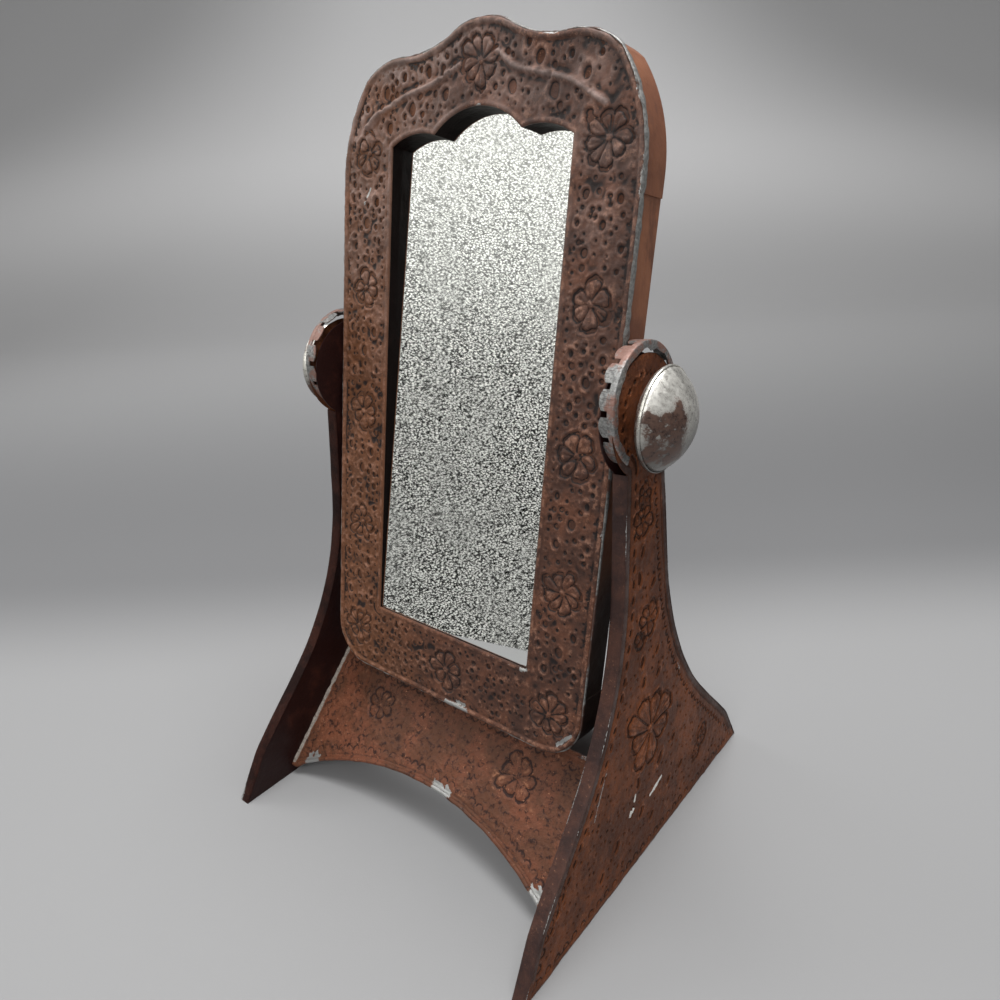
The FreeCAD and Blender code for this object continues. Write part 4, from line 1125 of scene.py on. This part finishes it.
outline = fine(face_plane["loops"][0], 1.6)
ahead = np.roll(outline, -1, 0) - np.roll(outline, 1, 0)
ahead /= np.hypot(*ahead.T)[:, None]
size = 1 + 0.16 * swell(outline[:, 0], outline[:, 1], 111, 7)
wide = 1 + 1.4 * held((outline[:, 0] - 60) / 25) * held((outline[:, 1] + 60) / 60)
stations = []
for (u, v), (run_u, run_v), swollen, broad in zip(outline, ahead, size, wide):
    outward = face_plane["across"] * run_v - face_plane["up"] * run_u
    stations.append((spot_on(face_plane, u, v), face_plane["out"] * swollen * broad, outward * swollen))
stations.append(stations[0])
piece = swept("face_seam", stations, round_section(8, 0.88, 0.55, -0.15))
piece.data.materials.append(seam_solder)
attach(piece, "mirror_box")

# Opening lip, glass, board and tabs: a strip painted near black, the recess's painted shade, runs
# back from the opening to the looking glass, which six bent tabs and a pressed board hold from behind.
shaded_lip_tin = dark_tin("shaded_lip_tin", (0.006, 0.0035, 0.003, 1), (0.030, 0.011, 0.008, 1), 0.3, 0.04)
repaint("opening_lip", shaded_lip_tin)

silvering, shader, place = finish("looking_glass")
haze = between(noise(place, 18, 3), 0.3, 0.8, 0.015, 0.035)
dress(shader, (0.86, 0.87, 0.85, 1), haze, metal=1.0)
repaint("mirror_glass", silvering)

pressed_board, shader, place = finish("pressed_board")
fibres = noise(place, 400, 5, 0.7, (1, 1, 3))
colour = mixed(between(fibres, 0.3, 0.7), (0.11, 0.065, 0.035, 1), (0.24, 0.15, 0.085, 1))
dress(shader, colour, 0.8, bump(fibres, 0.2 * mm))
repaint("backing_board", pressed_board)
repaint("glazing_tabs", bare_tin)

# Mirror box, casings and back: plain strips lap round the box's sides, and a flanged plate closes
# the back. Their brown is thinner and more coppery than the face's, and rubbed along the edges.
def plain_tin(name, coat, glow, dark, dark_paint_and_shade_below):
    """Smooth sheet under thin brown paint, cloudy, with rubbed specks, and nearly black low down, partly
    dark paint and partly painted shade.
    """
    material, shader, place = finish(name)
    clouds = noise(place, 26, 5, 0.6)
    smears = noise(place, 70, 5, 0.7, (1, 1, 0.4))
    grain = noise(place, 900, 3, 0.7)
    colour = mixed(between(clouds, 0.36, 0.66), coat, glow)
    colour = mixed(between(smears, 0.52, 0.72, 0, 0.7), colour, dark)
    # Nearly black low down: partly dark paint, partly painted shade.
    low = between(apart(place)["Z"], dark_paint_and_shade_below - 0.05, dark_paint_and_shade_below, 0.93, 0)
    colour = mixed(low, colour, (0.012, 0.009, 0.008, 1))
    rubbed = between(reckon("ADD", reckon("MULTIPLY", grain, 0.4), smears), 0.98, 1.04)
    colour = mixed(rubbed, colour, (0.40, 0.38, 0.36, 1))
    skin = bump(clouds, 1.6 * mm, bump(grain, 0.05 * mm))
    dress(shader, colour, between(smears, 0.3, 0.7, 0.34, 0.55), skin, rubbed)
    return material


casing_tin = plain_tin("casing_tin", (0.17, 0.060, 0.028, 1), (0.27, 0.105, 0.050, 1),
                       (0.085, 0.032, 0.020, 1), 0.215)
for part in ("top_casing", "bottom_casing", "left_casing", "right_casing"):
    repaint(part, casing_tin)
back_tin = plain_tin("back_tin", (0.085, 0.036, 0.024, 1), (0.13, 0.052, 0.030, 1),
                     (0.040, 0.020, 0.016, 1), 0.05)
repaint("back_cover", back_tin)

# Pivots: a nut on a stiffening plate inside each side of the box, a thick washer that keeps the box
# off the panel, and the knob's own screw and thin washer. All are plated steel.
steel, shader, place = finish("plated_steel")
grain = noise(place, 500, 4, 0.7)
colour = mixed(between(grain, 0.35, 0.7), (0.28, 0.27, 0.26, 1), (0.48, 0.47, 0.45, 1))
dress(shader, colour, between(grain, 0.3, 0.7, 0.3, 0.5), bump(grain, 0.06 * mm), 0.9)
for side, _ in sides:
    for part in ("_pivot_nut", "_pivot_plate", "_spacer", "_washer", "_screw"):
        repaint(side + part, steel)

# Knobs: two spun tin shells on each screw. The dished back is rolled over the domed front as a rim.
# The brown paint is worn off where fingers turn them.
knob_crown = 13.0
knob_rim = 1.8
knob_sheet = 0.8
knob_turns = 96
worn_tin, shader, place = finish("worn_knob_tin")
patches = noise(place, 42, 6, 0.62)
scratches = noise(place, 420, 4, 0.75, (0.35, 1, 1))
grain = noise(place, 1100, 3, 0.7)
aside, back, up = apart(place)
front_half = between(back, pivot.y, pivot.y - 8 * mm)
front_edge = between(back, pivot.y - 25 * mm, pivot.y - 20 * mm)
lower_half = between(up, pivot.z + 18 * mm, pivot.z + 4 * mm)
low_edge = between(up, pivot.z - 22 * mm, pivot.z - 14 * mm)
kept = front_half
for limit in (lower_half, low_edge, front_edge):
    kept = reckon("MULTIPLY", kept, limit)
shaded = between(up, pivot.z + 8 * mm, pivot.z - 12 * mm, 0, 0.9)
metal = mixed(between(scratches, 0.3, 0.7), (0.62, 0.60, 0.55, 1), (0.97, 0.95, 0.89, 1))
metal = mixed(shaded, metal, (0.13, 0.125, 0.118, 1))
uneven = reckon("ADD", patches, reckon("MULTIPLY", scratches, 0.28))
left_paint = between(reckon("ADD", uneven, reckon("MULTIPLY", kept, 0.21)), 0.70, 0.78)
paint = mixed(between(scratches, 0.35, 0.6), (0.042, 0.022, 0.017, 1), (0.105, 0.058, 0.042, 1))
skin = bump(scratches, 0.10 * mm, bump(grain, 0.03 * mm))
dress(shader, mixed(left_paint, metal, paint), between(scratches, 0.3, 0.7, 0.24, 0.44), skin,
      between(left_paint, 0.2, 0.8, 0.9, 0.1))


def spun(name, sign, profile):
    """Closed shell turned about the screw's line from (out, radius) points in millimetres."""
    points, faces, count = [], [], len(profile)
    for index in range(knob_turns):
        angle = 2 * math.pi * index / knob_turns
        for out, radius in profile:
            spot = Vector((sign * out, radius * math.cos(angle), radius * math.sin(angle))) * mm
            points.append(spot + pivot)
    for index in range(knob_turns):
        after = (index + 1) % knob_turns
        for row in range(count):
            below = (row + 1) % count
            faces.append((index * count + row, index * count + below,
                          after * count + below, after * count + row))
    piece = mesh_piece(name, points, faces)
    work = bmesh.new()
    work.from_mesh(piece.data)
    bmesh.ops.remove_doubles(work, verts=work.verts, dist=0.002 * mm)
    bmesh.ops.recalc_face_normals(work, faces=work.faces)
    work.to_mesh(piece.data)
    work.free()
    return piece


def arc_points(radius, half, crown, base, steps):
    """Profile of a dome from its edge to its middle."""
    return [(base - radius + crown + radius * math.cos(turn), radius * math.sin(turn))
            for turn in np.linspace(half, 0, steps)]


for side, sign in sides:
    back_low, back_high = (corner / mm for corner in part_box(side + "_knob_back"))
    rim_top = max(abs(back_low.x), abs(back_high.x))
    rim_back = rim_top - knob_rim
    floor = min(abs(back_low.x), abs(back_high.x))
    rim = (back_high.y - back_low.y) / 2
    dish = [(floor, 2.5), (floor, 8.6), (floor + 0.6, 12.0), (floor + 1.6, 16.2), (floor + 3.4, 20.6),
            (floor + 5.4, 23.6), (rim_back, rim - 0.25), (rim_back + 0.5, rim), (rim_top - 0.5, rim),
            (rim_top - 0.1, rim - 0.25), (rim_top, rim - 0.6), (rim_top - 0.6, rim - 0.9),
            (rim_back, rim - 0.9), (floor + 5.6, 22.6), (floor + 3.8, 19.6), (floor + 2.2, 15.4),
            (floor + knob_sheet, 8.8), (floor + knob_sheet, 2.5)]
    edge = rim - 0.95
    ball = (edge ** 2 + knob_crown ** 2) / (2 * knob_crown)
    inner = ball - knob_sheet
    half = math.asin(edge / ball)
    outer_arc = arc_points(ball, half, knob_crown, rim_top, 22)
    inner_arc = arc_points(inner, math.asin((edge - 0.9) / inner), knob_crown - knob_sheet, rim_top, 14)
    dome = [(rim_back + 0.3, edge)] + outer_arc + inner_arc[::-1] + [(rim_back + 0.3, edge - 0.9)]
    for shell, node, profile in (("_knob_dish", "_knob_back", dish), ("_knob_dome", "_knob_front", dome)):
        piece = spun(side + shell, sign, profile)
        piece.data.materials.append(worn_tin)
        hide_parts(side + node)
        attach(piece, side + "_knob")

low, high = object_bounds()
